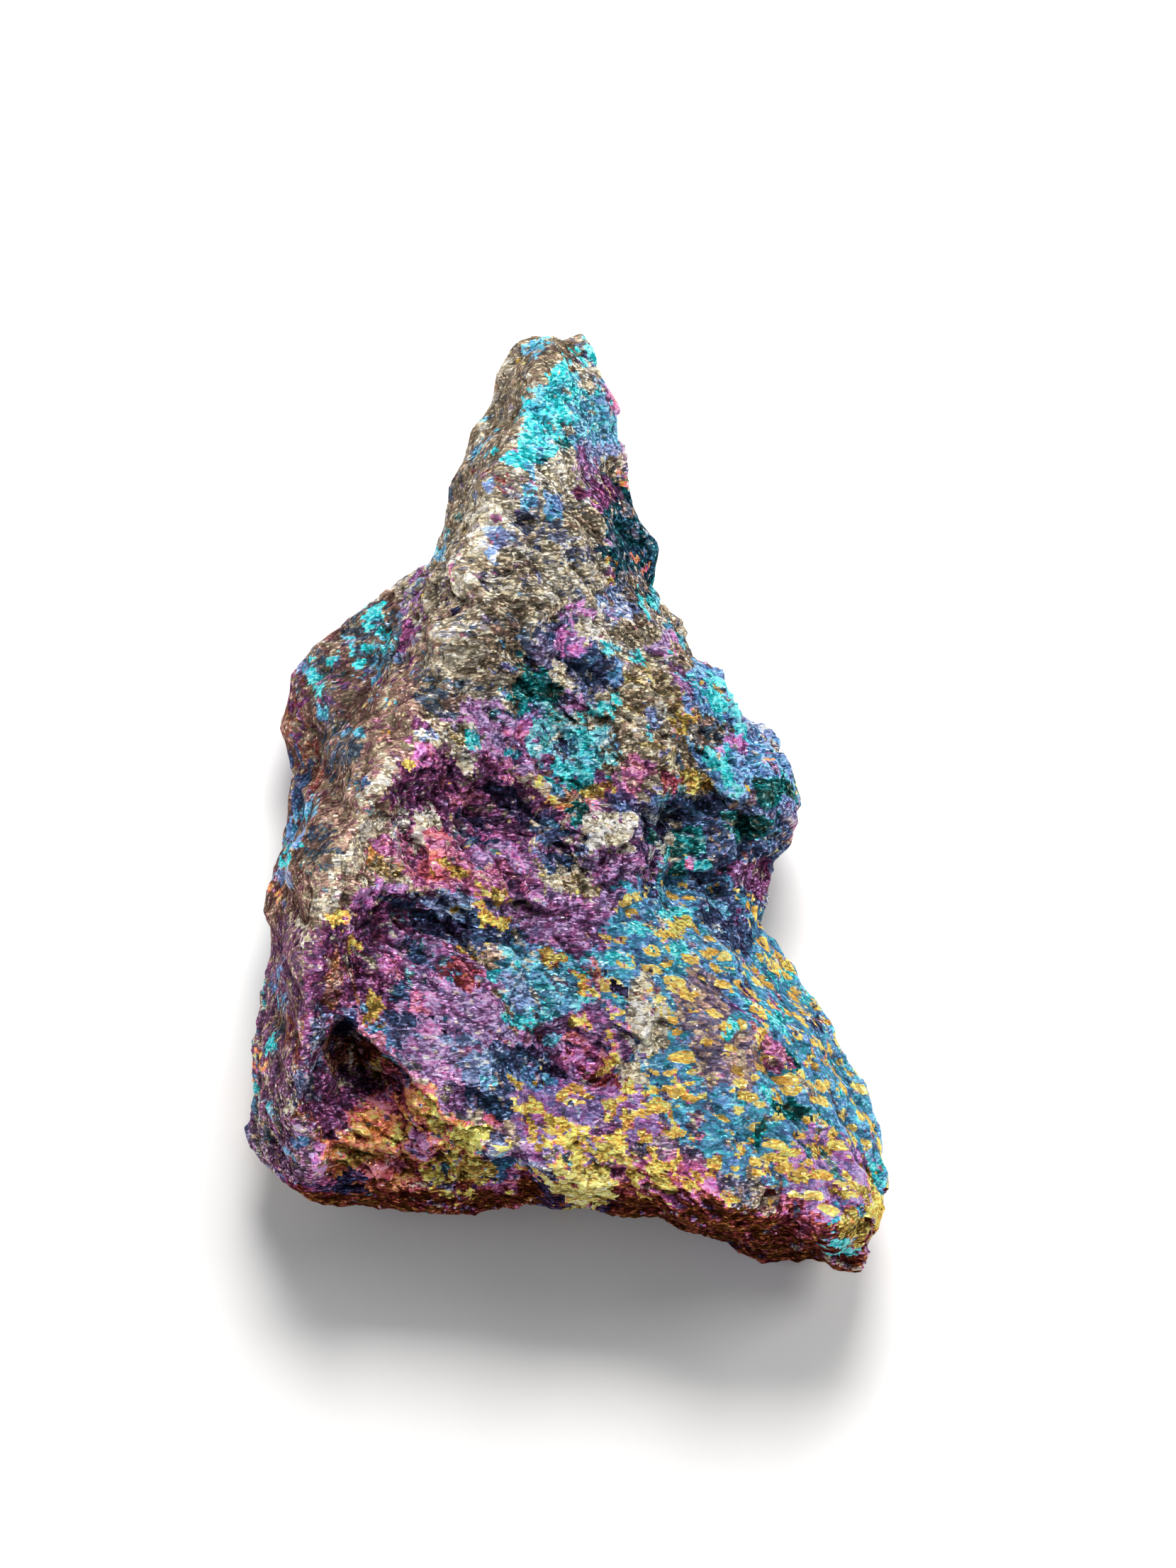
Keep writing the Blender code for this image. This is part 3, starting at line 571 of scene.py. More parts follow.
# %% Marks of the lower right
LOWER_RIGHT_MARKS = [
    ("silver", 5.4, -13.4, 0.8, 1.6, 5), ("silver", 5.6, -16.2, 0.9, 2, 5),
    ("silver", 4.3, -19.2, 0.8, 1, -25), ("silver", 5.6, -15.8, 1.15, 3.2, 3),
    ("cream", 5.5, -15, 0.5, 1.5, 0), ("crimson", 2.8, -17.6, 1.8, 0.8, 60),
    ("crimson", 0.8, -17.2, 0.9, 0.5, -20), ("magenta", 1.4, -18.6, 1.3, 0.6, -35),
    ("maroon", 2.4, -19.4, 1.5, 0.45, -30), ("lemon", 3.2, -18, 0.35, 0.7, 20),
    ("pink", 1.6, -17.4, 0.8, 0.3, -30), ("magenta", 3.7, -14.6, 0.6, 0.9, 10),
    ("gold", 3.2, -16.6, 0.6, 0.8, 0), ("gold", 0.6, -15.6, 0.8, 0.5, -20),
    ("gold", 2.9, -18.2, 0.4, 0.7, 10), ("gold", -2, -16.9, 0.3, 0.7, 20),
    ("cyan", 3.5, -11.1, 1.2, 0.5, 0), ("gold", 1, -13, 1.3, 0.4, -35),
    ("black", 3.2, -12.4, 0.9, 0.13, -20), ("sky", 1.8, -11.3, 1.2, 0.6, -20), ("cyan", 5, -9, 0.8, 0.6, 0),
    ("gold", 7.6, -9.1, 1, 0.6, 15), ("cyan", 8, -10.4, 1, 0.3, 0), ("navy", 11.8, -9.4, 1.3, 1.1, -30),
    ("turquoise", 7.6, -8.1, 1.2, 0.4, 0), ("turquoise", 14, -20.8, 0.7, 0.5, 0),
    ("teal", 13.3, -23.4, 0.5, 1.2, 0), ("cyan", 15, -14.9, 1.1, 0.5, -50),
    ("cyan", 13.2, -13.8, 0.45, 0.4, 0), ("turquoise", 12.2, -15.7, 0.4, 0.5, 0),
    ("cyan", 16.6, -13.3, 0.7, 0.35, -40), ("cyan", 15.3, -12.4, 0.6, 0.3, -30),
    ("cyan", 22.2, -26.3, 0.4, 0.9, 0), ("turquoise", 19.4, -31.4, 1.2, 0.6, -15),
    ("dark teal", 16, -22.3, 1.8, 0.8, -18), ("dark teal", 15.5, -18, 0.6, 0.8, 0),
    ("navy", 17.8, -16, 0.9, 0.6, 0), ("rose", 14.4, -17.9, 1.2, 1, -30), ("gold", 22, -29, 0.7, 1.4, 5),
    ("old gold", 21.4, -27.2, 0.5, 0.9, 20), ("old gold", 20.3, -30.2, 0.8, 1.2, 25),
    ("gold", 15.3, -25, 1, 0.5, 10), ("gold", 6.9, -26.4, 1, 0.6, 25), ("black", 0.6, -27.6, 3, 1.9, -20),
    ("nugget", 0.9, -26.9, 2.6, 1.7, -22), ("lemon", 0.8, -24.2, 0.8, 0.7, 0),
    ("lemon", 3.3, -25.6, 0.5, 1.2, -20), ("gold", 2.8, -24.9, 0.9, 0.4, 0),
    ("maroon", 16.4, -29.4, 1.9, 1.2, -15), ("pink", 15.6, -28.7, 0.5, 0.3, -30),
    ("purple", 2.7, -23.2, 0.8, 0.7, 0), ("indigo", 5, -24.9, 0.8, 0.8, 0),
    ("gold", -2, -21.6, 0.6, 0.6, 0), ("gold", -2.3, -22.8, 0.6, 0.45, 0),
    ("gold", -0.9, -23.2, 0.45, 0.5, 0),
]
print(len(LOWER_RIGHT_MARKS), "marks on the lower right")

# %% [markdown]
# The largest gold flecks get a place of their own: (across, up, radius). The small ones between them are
# left to the shader, which sows them wherever a look asks for spots.

# %% The large gold flecks
GOLD_FLECKS = [
    (-2, -21.5, 0.6), (-0.8, -22.5, 0.55), (-0.3, -20.6, 0.5), (0.8, -21, 0.55), (-1.5, -24.5, 0.5),
    (1.3, -24, 0.6), (0, -23.3, 0.5), (2.6, -21.9, 0.55), (4.2, -22.4, 0.6), (6.2, -21.3, 0.6),
    (4.5, -20.6, 0.5), (8, -20.5, 0.6), (9.7, -20.8, 0.45), (10.5, -19.2, 0.5), (11.7, -21, 0.5),
    (14.9, -21.3, 0.5), (3.4, -23.9, 0.5), (5.4, -23.6, 0.55), (7.1, -23, 0.5), (2.3, -25.3, 0.6),
    (4.4, -25.4, 0.6), (6.3, -25.1, 0.5), (8.2, -24.9, 0.45), (9.6, -23.4, 0.45), (10.8, -25.6, 0.5),
    (9, -27, 0.5), (11.6, -27.4, 0.5), (12.6, -24.6, 0.4), (13.6, -26.4, 0.5), (5.2, -27, 0.5),
    (7.2, -26.6, 0.6), (16, -27, 0.6), (17.3, -24.5, 0.5), (17.3, -26.7, 0.45), (19.2, -27.7, 0.55),
    (18.9, -24.1, 0.5), (20.4, -24, 0.4), (20, -26, 0.5), (-3.6, -20.4, 0.35), (-2.6, -23.4, 0.5),
    (18.5, -18, 0.5), (16.8, -18.3, 0.4), (17.3, -14, 0.4), (15.2, -11.7, 0.45), (18.5, -15.5, 0.4),
]
FLECK_WIDTH = 0.85                                 # of its length
FLECK_TURN = -50
FLECKS = [("gold", x, y, radius, FLECK_WIDTH * radius, FLECK_TURN) for x, y, radius in GOLD_FLECKS]

MARKS = UPPER_MARKS + LEFT_MARKS + MIDDLE_MARKS + LOWER_LEFT_MARKS + LOWER_RIGHT_MARKS + FLECKS
print(len(MARKS), "marks")

# %% [markdown]
# Plain ellipses would look like stickers. So noise of three sizes bends each mark's outline, and a finer
# one is added to how deep a place lies in the mark, before the sum is cut at one half. Deep inside nearly
# every face takes the look, and near the rim only some do. Away from the face no mark reaches, so slow
# noise alone sets the five numbers on the sides and the back.
# The paint goes on the mesh's faces, not on its points. A face then has one colour, as a flake of ore has,
# and turquoise beside gold doesn't run through all the colours between them.

# %% Paint the film onto the faces
EDGE_BEND = ((2.6, 1.00), (1.0, 0.60), (0.45, 0.28))  # noise size and how far it bends a mark, in mm
EDGE_GRAIN = ((0.9, 0.65), (0.38, 0.65))           # noise size in mm and how much it breaks an edge
EDGE_REACH = 0.60                                  # how far the grains reach in from a mark's rim, in mm
DEEPEST = 0.86                                     # below one, so some of the ground shows in every mark
CUT = (0.42, 0.58)
CREST_FOOT, CREST_SLOPE = -13.1, 0.41              # where the crest is at up 0, and how it drifts as up grows
# the brightness carries painted light and shade, and its upper limit lets the brightest painted light through
BRIGHT_LIMITS = (0.03, 2.4)


def noise_of(points, size, seed, stretch=1.0):
    """Smooth noise of the given size at each point, about -1 to 1, stretched along the grain."""
    offset = Vector((seed * 17.3, seed * 5.1, seed * 11.9))
    return np.array([noise.noise(along_grain(Vector(p), stretch) / size + offset) for p in points])


def read_faces(mesh, what):
    flat = np.empty(len(mesh.polygons) * 3, np.float32)
    mesh.polygons.foreach_get(what, flat)
    return flat.reshape(-1, 3).astype(float)


points = read_faces(stone.data, "center") / MM
normals = read_faces(stone.data, "normal")
across, up = face_places(points)
lean = 1.0 - ramp(across - (CREST_FOOT + CREST_SLOPE * up), 0.0, 3.0)
for seed, (size, depth) in enumerate(EDGE_BEND):
    across = across + depth * noise_of(points, size, 20 + seed, 1.5)
    up = up + depth * noise_of(points, size, 30 + seed, 1.5)
grain = np.zeros(len(points))
for seed, (size, share) in enumerate(EDGE_GRAIN):
    grain = grain + share * noise_of(points, size, 40 + seed, 1.8)

film = 0.52 + 0.50 * noise_of(points, 6.0, 1, 1.5) + 0.20 * noise_of(points, 1.6, 5, 2.0)
bright = 0.62 + 0.45 * noise_of(points, 3.5, 2, 1.5)
bare = 0.42 + 0.80 * noise_of(points, 5.0, 3, 1.5)
tint = 0.55 + 0.50 * noise_of(points, 4.0, 6)
spots = np.clip(noise_of(points, 8.0, 4) * 2.0 - 0.3, 0.0, 0.8)


def paint(look, weight):
    """Moves the five numbers towards the look's, by the weight of each face."""
    for values, wanted in zip((film, bright, bare, tint, spots), LOOKS[look]):
        if wanted is not None:
            values += (wanted - values) * weight


def paint_mark(mark):
    depth = 1.0 - mark_distance(mark, across, up)
    close = np.minimum(depth * min(mark[3], mark[4]) / EDGE_REACH + 0.5, DEEPEST)
    paint(mark[0], ramp(close + grain, *CUT) * seen)


seen = ramp(normals @ np.array(TO_VIEWER), -0.40, -0.10)
for mark in GROUNDS:
    paint_mark(mark)
# the broad end broke off steeply. Its faces turn away from the key lamp and are painted dark brown all
# over: partly their own colour, partly painted shade.
paint("dark brown", ramp(-normals[:, 1], 0.40, 0.70) * (1.0 - ramp(up, -27.5, -26.0)))
for mark in MARKS:
    paint_mark(mark)


def keep(mesh, name, values, domain="FACE"):
    mesh.attributes.new(name, "FLOAT", domain).data.foreach_set("value", values.astype(np.float32))


keep(stone.data, "film", np.clip(film, 0.0, 1.0))
keep(stone.data, "bright", np.clip(bright, *BRIGHT_LIMITS))
keep(stone.data, "bare", np.clip(bare, -0.5, 1.0))
keep(stone.data, "lean", lean)
keep(stone.data, "tint", np.clip(tint, 0.0, 1.0))
keep(stone.data, "spots", np.clip(spots, 0.0, 1.0))
print("painted", len(points), "faces")

# %% [markdown]
# ## Painted light and shade on crests and hollows
# Light reaches a crest and misses a hollow, so crests are painted lighter and hollows darker, as painted
# light and shade. A point is in a hollow when it lies below the average of its surroundings along its
# normal. Averaging over the mesh's edges a few times measures that. Blender's ambient occlusion node
# traces rays for the same answer, but an attribute stays with the mesh.

# %% Measure the hollows
HOLLOW_TURNS = 12                                  # each turn looks one edge further
HOLLOW_SPAN_MM = 0.4


def hollowness(obj, points, normals, turns):
    edges = np.empty(len(obj.data.edges) * 2, np.int32)
    obj.data.edges.foreach_get("vertices", edges)
    edges = edges.reshape(-1, 2)
    count = np.bincount(edges.ravel(), minlength=len(points))[:, None]
    average = points
    for _ in range(turns):
        total = np.zeros_like(points)
        np.add.at(total, edges[:, 0], average[edges[:, 1]])
        np.add.at(total, edges[:, 1], average[edges[:, 0]])
        average = total / count
    return ((average - points) * normals).sum(axis=1)


hollow = hollowness(stone, points_of(stone.data), normals_of(stone.data), HOLLOW_TURNS)
keep(stone.data, "hollow", np.clip(0.5 + hollow / HOLLOW_SPAN_MM, 0.0, 1.0), "POINT")
print("hollows, mm:", np.round(np.percentile(hollow, [5, 50, 95]), 3))

# %% [markdown]
# ## Shader groups
# A node group is a small machine with named sockets. These two are built once: one turns film thickness
# into colour, the other breaks any surface into tiny random grains.

# %% A helper that makes groups
def new_group(name, inputs, outputs):
    group = bpy.data.node_groups.new(name, "ShaderNodeTree")
    for label, kind, value in inputs:
        socket = group.interface.new_socket(label, in_out="INPUT", socket_type=kind)
        socket.default_value = value
    for label, kind in outputs:
        group.interface.new_socket(label, in_out="OUTPUT", socket_type=kind)
    return group, group.nodes.new("NodeGroupInput"), group.nodes.new("NodeGroupOutput")


def node_of(tree, kind, **settings):
    made = tree.nodes.new(kind)
    for key, value in settings.items():
        setattr(made, key, value)
    return made


def colour_ramp(tree, factor, stops):
    made = tree.nodes.new("ShaderNodeValToRGB")
    elements = made.color_ramp.elements
    while len(elements) < len(stops):
        elements.new(0.5)
    for element, (position, colour) in zip(elements, stops):
        element.position = position
        element.color = (*colour, 1.0)
    tree.links.new(factor, made.inputs[0])
    return made.outputs[0]


# %% Film thickness to colour
FILM_STOPS = [
    (0.00, (0.95, 0.76, 0.20)), (0.07, (0.90, 0.55, 0.12)), (0.14, (0.86, 0.32, 0.10)),
    (0.22, (0.66, 0.11, 0.14)), (0.29, (0.84, 0.24, 0.38)), (0.36, (0.66, 0.16, 0.54)),
    (0.43, (0.40, 0.22, 0.52)), (0.52, (0.17, 0.18, 0.44)), (0.60, (0.16, 0.32, 0.70)),
    (0.69, (0.13, 0.50, 0.76)), (0.79, (0.03, 0.72, 0.78)), (0.89, (0.03, 0.34, 0.36)),
    (1.00, (0.18, 0.19, 0.12)),
]

film_group, film_in, film_out = new_group(
    "Tarnish film",
    [("Thickness", "NodeSocketFloat", 0.5)],
    [("Color", "NodeSocketColor")],
)
film_shade = colour_ramp(film_group, film_in.outputs["Thickness"], FILM_STOPS)
film_group.links.new(film_shade, film_out.inputs["Color"])
print("film colours:", len(FILM_STOPS))

# %% [markdown]
# Every Voronoi cell is one grain. Its colour gives two random numbers, and the height is a slope through
# the cell's centre, so that a whole grain leans one way. A bump from plain noise would only ripple it.

# %% Random grains
grain_group, grain_in, grain_out = new_group(
    "Ore grains",
    [("Vector", "NodeSocketVector", (0.0, 0.0, 0.0)), ("Grains per metre", "NodeSocketFloat", 4000.0)],
    [("Random", "NodeSocketFloat"), ("Random 2", "NodeSocketFloat"), ("Height", "NodeSocketFloat")],
)
cells = node_of(grain_group, "ShaderNodeTexVoronoi", feature="F1")
grain_group.links.new(grain_in.outputs["Vector"], cells.inputs["Vector"])
grain_group.links.new(grain_in.outputs["Grains per metre"], cells.inputs["Scale"])
parts = grain_group.nodes.new("ShaderNodeSeparateColor")
grain_group.links.new(cells.outputs["Color"], parts.inputs["Color"])
centred = node_of(grain_group, "ShaderNodeVectorMath", operation="SUBTRACT")
grain_group.links.new(cells.outputs["Color"], centred.inputs[0])
centred.inputs[1].default_value = (0.5, 0.5, 0.5)
offset = node_of(grain_group, "ShaderNodeVectorMath", operation="SUBTRACT")
grain_group.links.new(grain_in.outputs["Vector"], offset.inputs[0])
grain_group.links.new(cells.outputs["Position"], offset.inputs[1])
tilt = node_of(grain_group, "ShaderNodeVectorMath", operation="DOT_PRODUCT")
grain_group.links.new(offset.outputs[0], tilt.inputs[0])
grain_group.links.new(centred.outputs[0], tilt.inputs[1])
grain_group.links.new(parts.outputs["Red"], grain_out.inputs["Random"])
grain_group.links.new(parts.outputs["Green"], grain_out.inputs["Random 2"])
grain_group.links.new(tilt.outputs["Value"], grain_out.inputs["Height"])
print("grain group:", len(grain_group.nodes), "nodes")

# %% [markdown]
# ## The ore material
# The painted thickness is shifted a little in every grain, so a purple field holds pink, violet and blue
# grains, as the real skin does. Bare ore breaks through in silvery and tan grains. Gold spots are a
# coarser Voronoi pattern, kept only where the map asks for them. Colour alone would look like paint:
# the glitter comes from metal, so the same grains also tilt the surface, each its own way.

# %% Helpers for the material
ore = bpy.data.materials.new("iridescent ore")
ore.use_nodes = True
tree = ore.node_tree
shader = tree.nodes["Principled BSDF"]
place = tree.nodes.new("ShaderNodeTexCoord").outputs["Object"]


def plug(socket, value):
    """Links the value where it is a socket, and sets it where it is a number or a colour."""
    if isinstance(value, bpy.types.NodeSocket):
        tree.links.new(value, socket)
    else:
        socket.default_value = value


def calc(operation, *values):
    made = node_of(tree, "ShaderNodeMath", operation=operation)
    for socket, value in zip(made.inputs, values):
        plug(socket, value)
    return made.outputs[0]


def about_zero(value, width):
    """A value from 0 to 1, turned into one from minus half the width to plus half of it."""
    return calc("MULTIPLY_ADD", value, width, -0.5 * width)


def threshold(value, level, softness):
    """0 below the level and 1 above it, with a soft step."""
    made = node_of(tree, "ShaderNodeMapRange", interpolation_type="SMOOTHSTEP")
    plug(made.inputs["Value"], value)
    made.inputs["From Min"].default_value = level - softness
    made.inputs["From Max"].default_value = level + softness
    return made.outputs["Result"]


def blend(factor, first, second, how="MIX"):
    made = node_of(tree, "ShaderNodeMix", data_type="RGBA", blend_type=how)
    for socket, value in zip([s for s in made.inputs if s.enabled], (factor, first, second)):
        plug(socket, value)
    return [s for s in made.outputs if s.enabled][0]


def attribute(name):
    return node_of(tree, "ShaderNodeAttribute", attribute_name=name).outputs["Fac"]


def clouds(vector, per_metre, detail=3.0, roughness=0.6, distortion=0.0):
    made = tree.nodes.new("ShaderNodeTexNoise")
    plug(made.inputs["Vector"], vector)
    made.inputs["Scale"].default_value = per_metre
    made.inputs["Detail"].default_value = detail
    made.inputs["Roughness"].default_value = roughness
    made.inputs["Distortion"].default_value = distortion
    return made.outputs["Fac"]


def along(share, turn=GRAIN_TURN):
    """Object coordinates turned so that X runs with the grain, and drawn in along it."""
    made = node_of(tree, "ShaderNodeMapping", vector_type="POINT")
    made.inputs["Rotation"].default_value = (0.0, 0.0, -turn)
    made.inputs["Scale"].default_value = (share, 1.0, 1.0)
    plug(made.inputs["Vector"], place)
    return made.outputs["Vector"]


def grains(vector, per_metre):
    made = tree.nodes.new("ShaderNodeGroup")
    made.node_tree = grain_group
    plug(made.inputs["Vector"], vector)
    made.inputs["Grains per metre"].default_value = per_metre
    return made.outputs


# %% [markdown]
# Seen close, the ore is a felt of light strands on a darker ground. A strand is where a stretched noise
# passes through its middle value. The strands run down to the right, and up to the right on the flank.

# %% Film colour, grain by grain
LEFT_TURN = math.radians(56.0)
FLAKES_PER_METRE, CRYSTALS_PER_METRE, DUST_PER_METRE = 2300.0, 4400.0, 7600.0
FILM_BY_DRIFT, FILM_BY_GRAIN = 0.28, 0.08          # how far they move the thickness

flakes = grains(along(0.5), FLAKES_PER_METRE)
crystals = grains(along(0.5), CRYSTALS_PER_METRE)
dust = grains(along(0.5), DUST_PER_METRE)
drift = clouds(along(0.5), 800.0, 5.0, 0.68)
down_right = clouds(along(0.25), 2300.0, 5.0, 0.70, 0.2)
up_right = clouds(along(0.20, LEFT_TURN), 2300.0, 5.0, 0.70, 0.2)
fibre_cloud = calc("ADD", calc("MULTIPLY", down_right, calc("SUBTRACT", 1.0, attribute("lean"))),
                   calc("MULTIPLY", up_right, attribute("lean")))
strand = calc("SUBTRACT", 1.0, calc("MULTIPLY", calc("ABSOLUTE", about_zero(fibre_cloud, 1.0)), 9.0))
strand = calc("MULTIPLY", calc("MAXIMUM", strand, 0.0), calc("MULTIPLY_ADD", attribute("lean"), -0.5, 1.0))

# a thin film drifts less, or gold would turn crimson
drift_share = calc("MULTIPLY_ADD", attribute("film"), 1.2, 0.35)
film_drift = calc("MULTIPLY", about_zero(drift, FILM_BY_DRIFT), drift_share)
thickness = calc("ADD", attribute("film"), film_drift)
thickness = calc("ADD", thickness, about_zero(crystals["Random"], FILM_BY_GRAIN))
thickness = calc("ADD", thickness, about_zero(flakes["Random"], FILM_BY_GRAIN))
film_node = tree.nodes.new("ShaderNodeGroup")
film_node.node_tree = film_group
plug(film_node.inputs["Thickness"], thickness)
film_colour = film_node.outputs["Color"]
print("film nodes:", len(tree.nodes))

# %% [markdown]
# Where the film is broken, bare ore shows, silvery, tan or reddish. It could be a second material on some
# faces, but its edge would follow their triangles. A mask of drift and random grains mixes it in instead.

# %% Bare ore
TINT_STOPS = [
    (0.00, (0.78, 0.80, 0.82)), (0.30, (0.86, 0.79, 0.67)),
    (0.65, (0.74, 0.62, 0.42)), (1.00, (0.68, 0.42, 0.34)),
]
BARE_BY_DRIFT, BARE_BY_FLAKE, BARE_BY_CRYSTAL = 0.8, 0.55, 0.35
bare_tint = calc("ADD", attribute("tint"), about_zero(flakes["Random"], 0.5))
bare_colour = colour_ramp(tree, bare_tint, TINT_STOPS)
bare_here = calc("ADD", attribute("bare"), about_zero(drift, BARE_BY_DRIFT))
bare_here = calc("ADD", bare_here, about_zero(flakes["Random 2"], BARE_BY_FLAKE))
bare_here = calc("ADD", bare_here, about_zero(crystals["Random"], BARE_BY_CRYSTAL))
film_colour = blend(calc("MULTIPLY", attribute("bare"), 0.60), film_colour, bare_colour)
skin = blend(threshold(bare_here, 0.5, 0.12), film_colour, bare_colour)
print("with bare ore:", len(tree.nodes))

# %% [markdown]
# A gold spot is a place that the film hardly covers. It starts as the distance to a Voronoi cell's centre,
# a disc, and noise makes its edge ragged. The cell's own random colour says how large the spot is, how
# orange, and whether the look that was painted there keeps it at all.

# %% Gold spots
GOLD_STOPS = [(0.0, (0.72, 0.34, 0.08)), (0.45, (0.95, 0.60, 0.13)), (1.0, (1.00, 0.85, 0.34))]
SPOTS_PER_METRE = 1050.0
SPOT_TURN = math.radians(-57.0)
spot_cells = node_of(tree, "ShaderNodeTexVoronoi", feature="F1")
plug(spot_cells.inputs["Vector"], along(0.50, SPOT_TURN))
spot_cells.inputs["Scale"].default_value = SPOTS_PER_METRE
spot_random = tree.nodes.new("ShaderNodeSeparateColor")
plug(spot_random.inputs["Color"], spot_cells.outputs["Color"])
spot_kept = calc("LESS_THAN", spot_random.outputs["Green"], attribute("spots"))
spot_reach = calc("MULTIPLY", calc("MULTIPLY_ADD", spot_random.outputs["Red"], 0.36, 0.22), spot_kept)
ragged = calc("ADD", spot_cells.outputs["Distance"], about_zero(clouds(along(0.4), 2600.0), 0.75))
in_spot = threshold(calc("SUBTRACT", spot_reach, ragged), 0.0, 0.02)
spot_shade = calc("MULTIPLY", spot_random.outputs["Blue"], 0.45)
gold_colour = colour_ramp(tree, calc("MULTIPLY_ADD", dust["Random"], 0.7, spot_shade), GOLD_STOPS)
print("with gold spots:", len(tree.nodes))

# %% [markdown]
# Grains of one colour still reflect very differently, and lamps alone can't show that at this size. So
# each kind of grain also has a random brightness: a high power keeps most of them dull and lets a few
# flash, as painted glints. Crests are painted lighter and hollows and crevices darker, as painted light
# and shade. It is calmer between the gold spots and on the smooth left flank.

# %% Light and dark
GLINT_METAL = (0.95, 0.93, 0.90, 1.0)
# painted glints: a high power makes a few grains of each kind far brighter than the rest
grain_tone_and_glint = calc("MULTIPLY_ADD", calc("POWER", crystals["Random 2"], 3.0), 1.5, 0.62)
flake_value = calc("MULTIPLY_ADD", calc("POWER", flakes["Random 2"], 1.6), 0.8, 0.69)
dust_tone_and_glint = calc("MULTIPLY_ADD", calc("POWER", dust["Random 2"], 5.0), 4.0, 0.48)
# painted light and shade: crests lighter, hollows darker
crest_light_hollow_shade = calc("POWER", calc("SUBTRACT", 1.45, attribute("hollow")), 1.4)
calm = calc("MULTIPLY", attribute("spots"), 0.6)
calm = calc("MULTIPLY_ADD", calc("POWER", attribute("lean"), 3.0), 0.35, calm)
fine_value = calc("MULTIPLY", grain_tone_and_glint, dust_tone_and_glint)
fine_value = calc("ADD", calc("MULTIPLY", fine_value, calc("SUBTRACT", 1.0, calm)), calm)
level = calc("MULTIPLY", attribute("bright"), fine_value)
level = calc("MULTIPLY", level, flake_value)
level = calc("MULTIPLY", level, calc("MULTIPLY_ADD", strand, 0.75, 0.68))
level = calc("MULTIPLY", level, crest_light_hollow_shade)

# painted shade: where a slow noise falls low, grains are darkened as crevices in shadow
outside_crevice_shade = threshold(clouds(along(0.30), 1500.0, 4.0, 0.62, 0.3), 0.375, 0.04)
level = calc("MINIMUM", calc("MULTIPLY", level, calc("MULTIPLY_ADD", outside_crevice_shade, 0.62, 0.38)), 2.0)

# painted glints: the brightest grains are turned pale, except where the film is thin and gold
glint_colour = blend(0.60, skin, GLINT_METAL)
glint_limit = calc("MINIMUM", calc("MULTIPLY", attribute("film"), 1.6), 0.55)
pale = calc("MULTIPLY", threshold(level, 1.55, 0.55), glint_limit)
skin = blend(pale, blend(1.0, skin, level, "MULTIPLY"), glint_colour)

# the gold spots take the same painted light on crests and painted shade in hollows
gold_level = calc("MULTIPLY", calc("MULTIPLY_ADD", dust["Random 2"], 0.8, 0.62), crest_light_hollow_shade)
skin = blend(in_spot, skin, blend(1.0, gold_colour, gold_level, "MULTIPLY"))
plug(shader.inputs["Base Color"], skin)
print("with light and dark:", len(tree.nodes))

# %% [markdown]
# The skin is metal all over. Seen at a grazing angle, metal mirrors its surroundings in plain white, and
# the stone's rims would look dusty. The specular tint colours that mirroring, so it is set dull. Moving the
# mesh for grains this small would take millions of faces, so a bump tilts them instead.

# %% Metal and glitter
EDGE_TINT = (0.40, 0.33, 0.32, 1.0)
FLAKE_TILT, CRYSTAL_TILT, DUST_TILT = 0.38, 0.50, 1.00
STRAND_HEIGHT_M = 0.00008

shader.inputs["Metallic"].default_value = 1.0
shader.inputs["Specular Tint"].default_value = EDGE_TINT
plug(shader.inputs["Roughness"], calc("MULTIPLY_ADD", crystals["Random"], 0.22, 0.28))

height = calc("MULTIPLY", flakes["Height"], FLAKE_TILT)
height = calc("MULTIPLY_ADD", crystals["Height"], CRYSTAL_TILT, height)
height = calc("MULTIPLY_ADD", dust["Height"], DUST_TILT, height)
height = calc("MULTIPLY_ADD", strand, STRAND_HEIGHT_M, height)
bump = tree.nodes.new("ShaderNodeBump")
bump.inputs["Strength"].default_value = 1.0
bump.inputs["Distance"].default_value = 1.0
plug(bump.inputs["Height"], height)
plug(shader.inputs["Normal"], bump.outputs["Normal"])

stone.data.materials.append(ore)
bpy.ops.object.select_all(action="DESELECT")
bpy.context.view_layer.objects.active = stone
stone.select_set(True)
bpy.ops.object.shade_flat()
print("material nodes:", len(tree.nodes))

# %% [markdown]
# ## Floor and light
# Metal shows what surrounds it. Against an even white sky it would look like plaster, so the sky is kept
# dim and a few large soft lamps do the work: each grain that happens to face a lamp flashes. The floor is
# plain and pale, and the same lamps make it near white.

# %% Lay the floor
FLOOR_M = 4.0
FLOOR_WHITE = (0.80, 0.80, 0.80, 1.0)

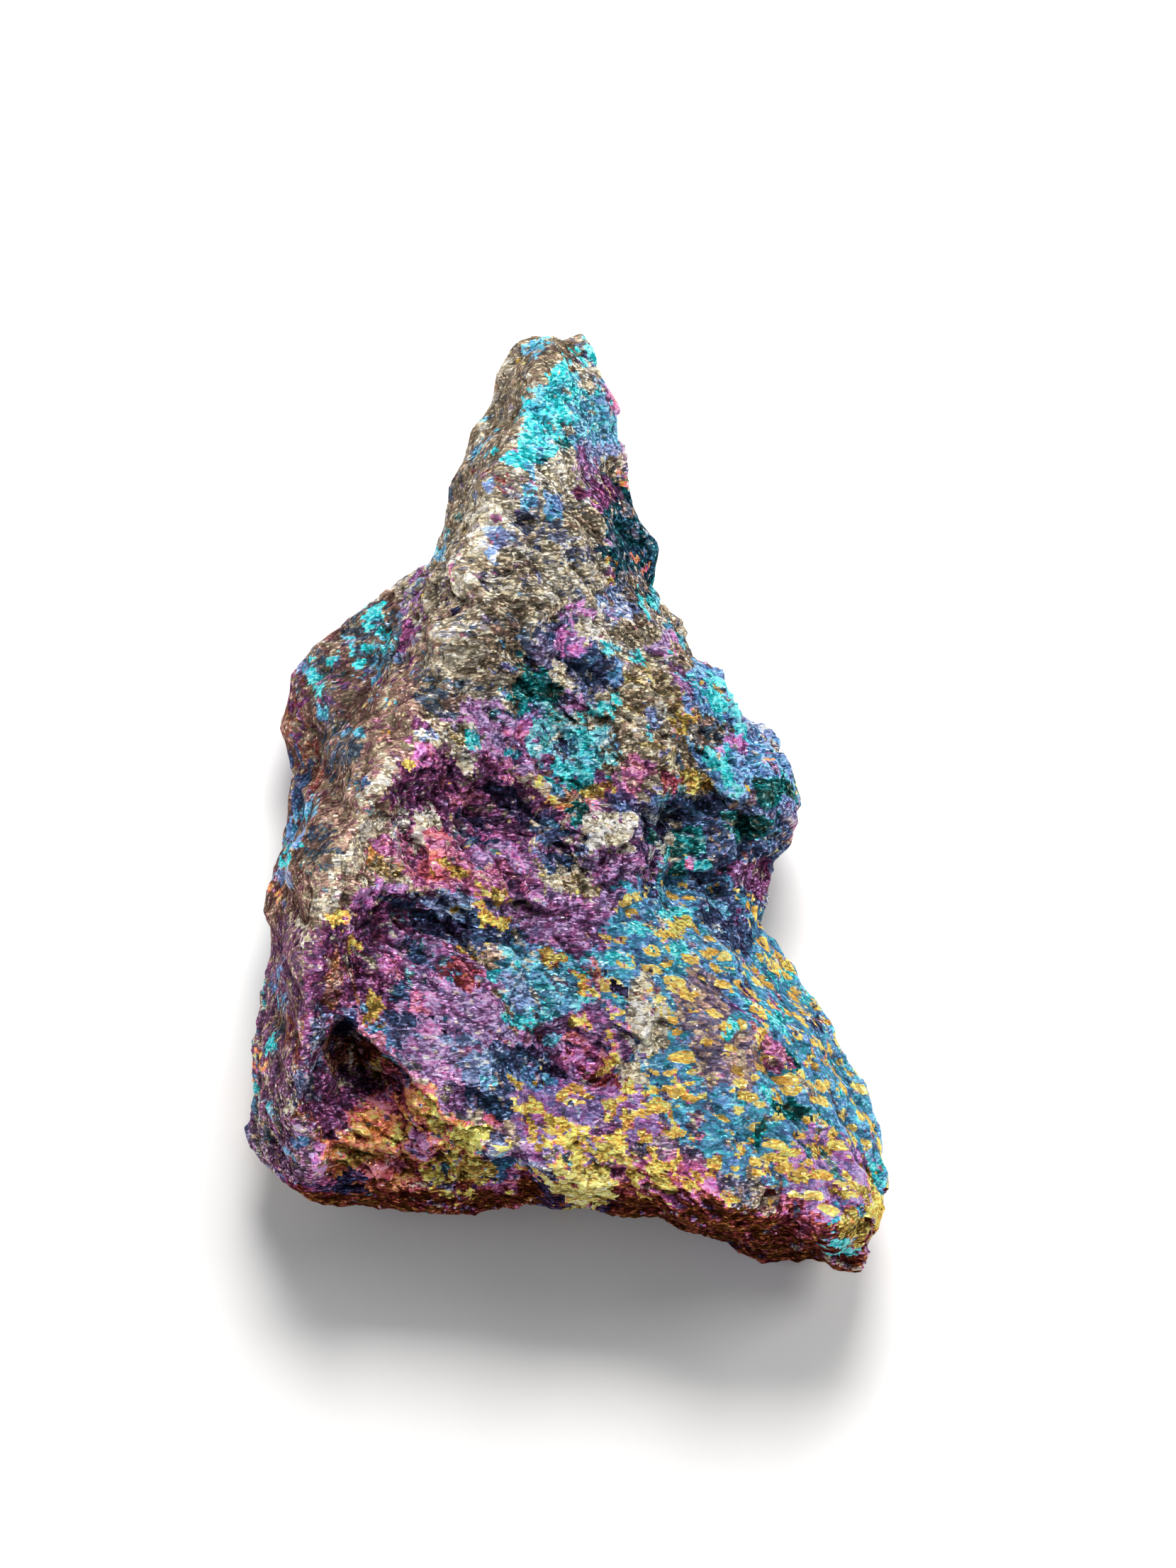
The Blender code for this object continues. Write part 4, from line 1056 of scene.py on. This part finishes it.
bpy.ops.object.select_all(action="DESELECT")
bpy.ops.mesh.primitive_plane_add(size=FLOOR_M, location=(0.0, 0.0, 0.0))
floor = bpy.context.object
floor.name = "floor"
paper = bpy.data.materials.new("pale paper")
paper.use_nodes = True
paper_shader = paper.node_tree.nodes["Principled BSDF"]
paper_shader.inputs["Base Color"].default_value = FLOOR_WHITE
paper_shader.inputs["Roughness"].default_value = 0.9
paper_shader.inputs["Specular IOR Level"].default_value = 0.1
floor.data.materials.append(paper)
print("floor, m:", FLOOR_M)

# %% [markdown]
# The key lamp stands beyond the stone's tip, so ledges that run across the face cast their shadow towards
# the broad end. Two weak lamps at the sides keep the flanks from going black. Sun lamps would give each
# grain a hard glint, and a square lamp of twenty centimetres a soft one.

# %% Hang the lamps
LAMPS = [
    ("key", (0.02, 0.30, 0.40), 0.22, 3.8, (1.0, 0.98, 0.95)),
    ("left", (-0.36, -0.05, 0.30), 0.20, 0.25, (0.94, 0.97, 1.0)),
    ("right", (0.34, 0.10, 0.32), 0.20, 0.9, (1.0, 0.97, 0.93)),
]
SKY_COLOUR = (0.95, 0.97, 1.0, 1.0)
SKY_STRENGTH = 0.34


def soft_lamp(name, place_m, size_m, watts, colour):
    """A square area lamp that faces the stone."""
    data = bpy.data.lights.new(name, "AREA")
    data.size = size_m
    data.energy = watts
    data.color = colour
    lamp = bpy.data.objects.new(name, data)
    bpy.context.scene.collection.objects.link(lamp)
    lamp.location = place_m
    towards = Vector((0.0, 0.0, 0.01)) - lamp.location
    lamp.rotation_euler = towards.to_track_quat("-Z", "Y").to_euler()


for lamp_row in LAMPS:
    soft_lamp(*lamp_row)
print(len(LAMPS), "lamps")

world = bpy.data.worlds.new("sky")
world.use_nodes = True
world.node_tree.nodes["Background"].inputs["Color"].default_value = SKY_COLOUR
world.node_tree.nodes["Background"].inputs["Strength"].default_value = SKY_STRENGTH
bpy.context.scene.world = world
bpy.context.scene.view_settings.view_transform = "Standard"

# %% [markdown]
# ## Hand over
# The dressed stone stands for the plain one and moves with the same body.

# %% Tie the stone to the frame
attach(stone, "root")
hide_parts(STONE)
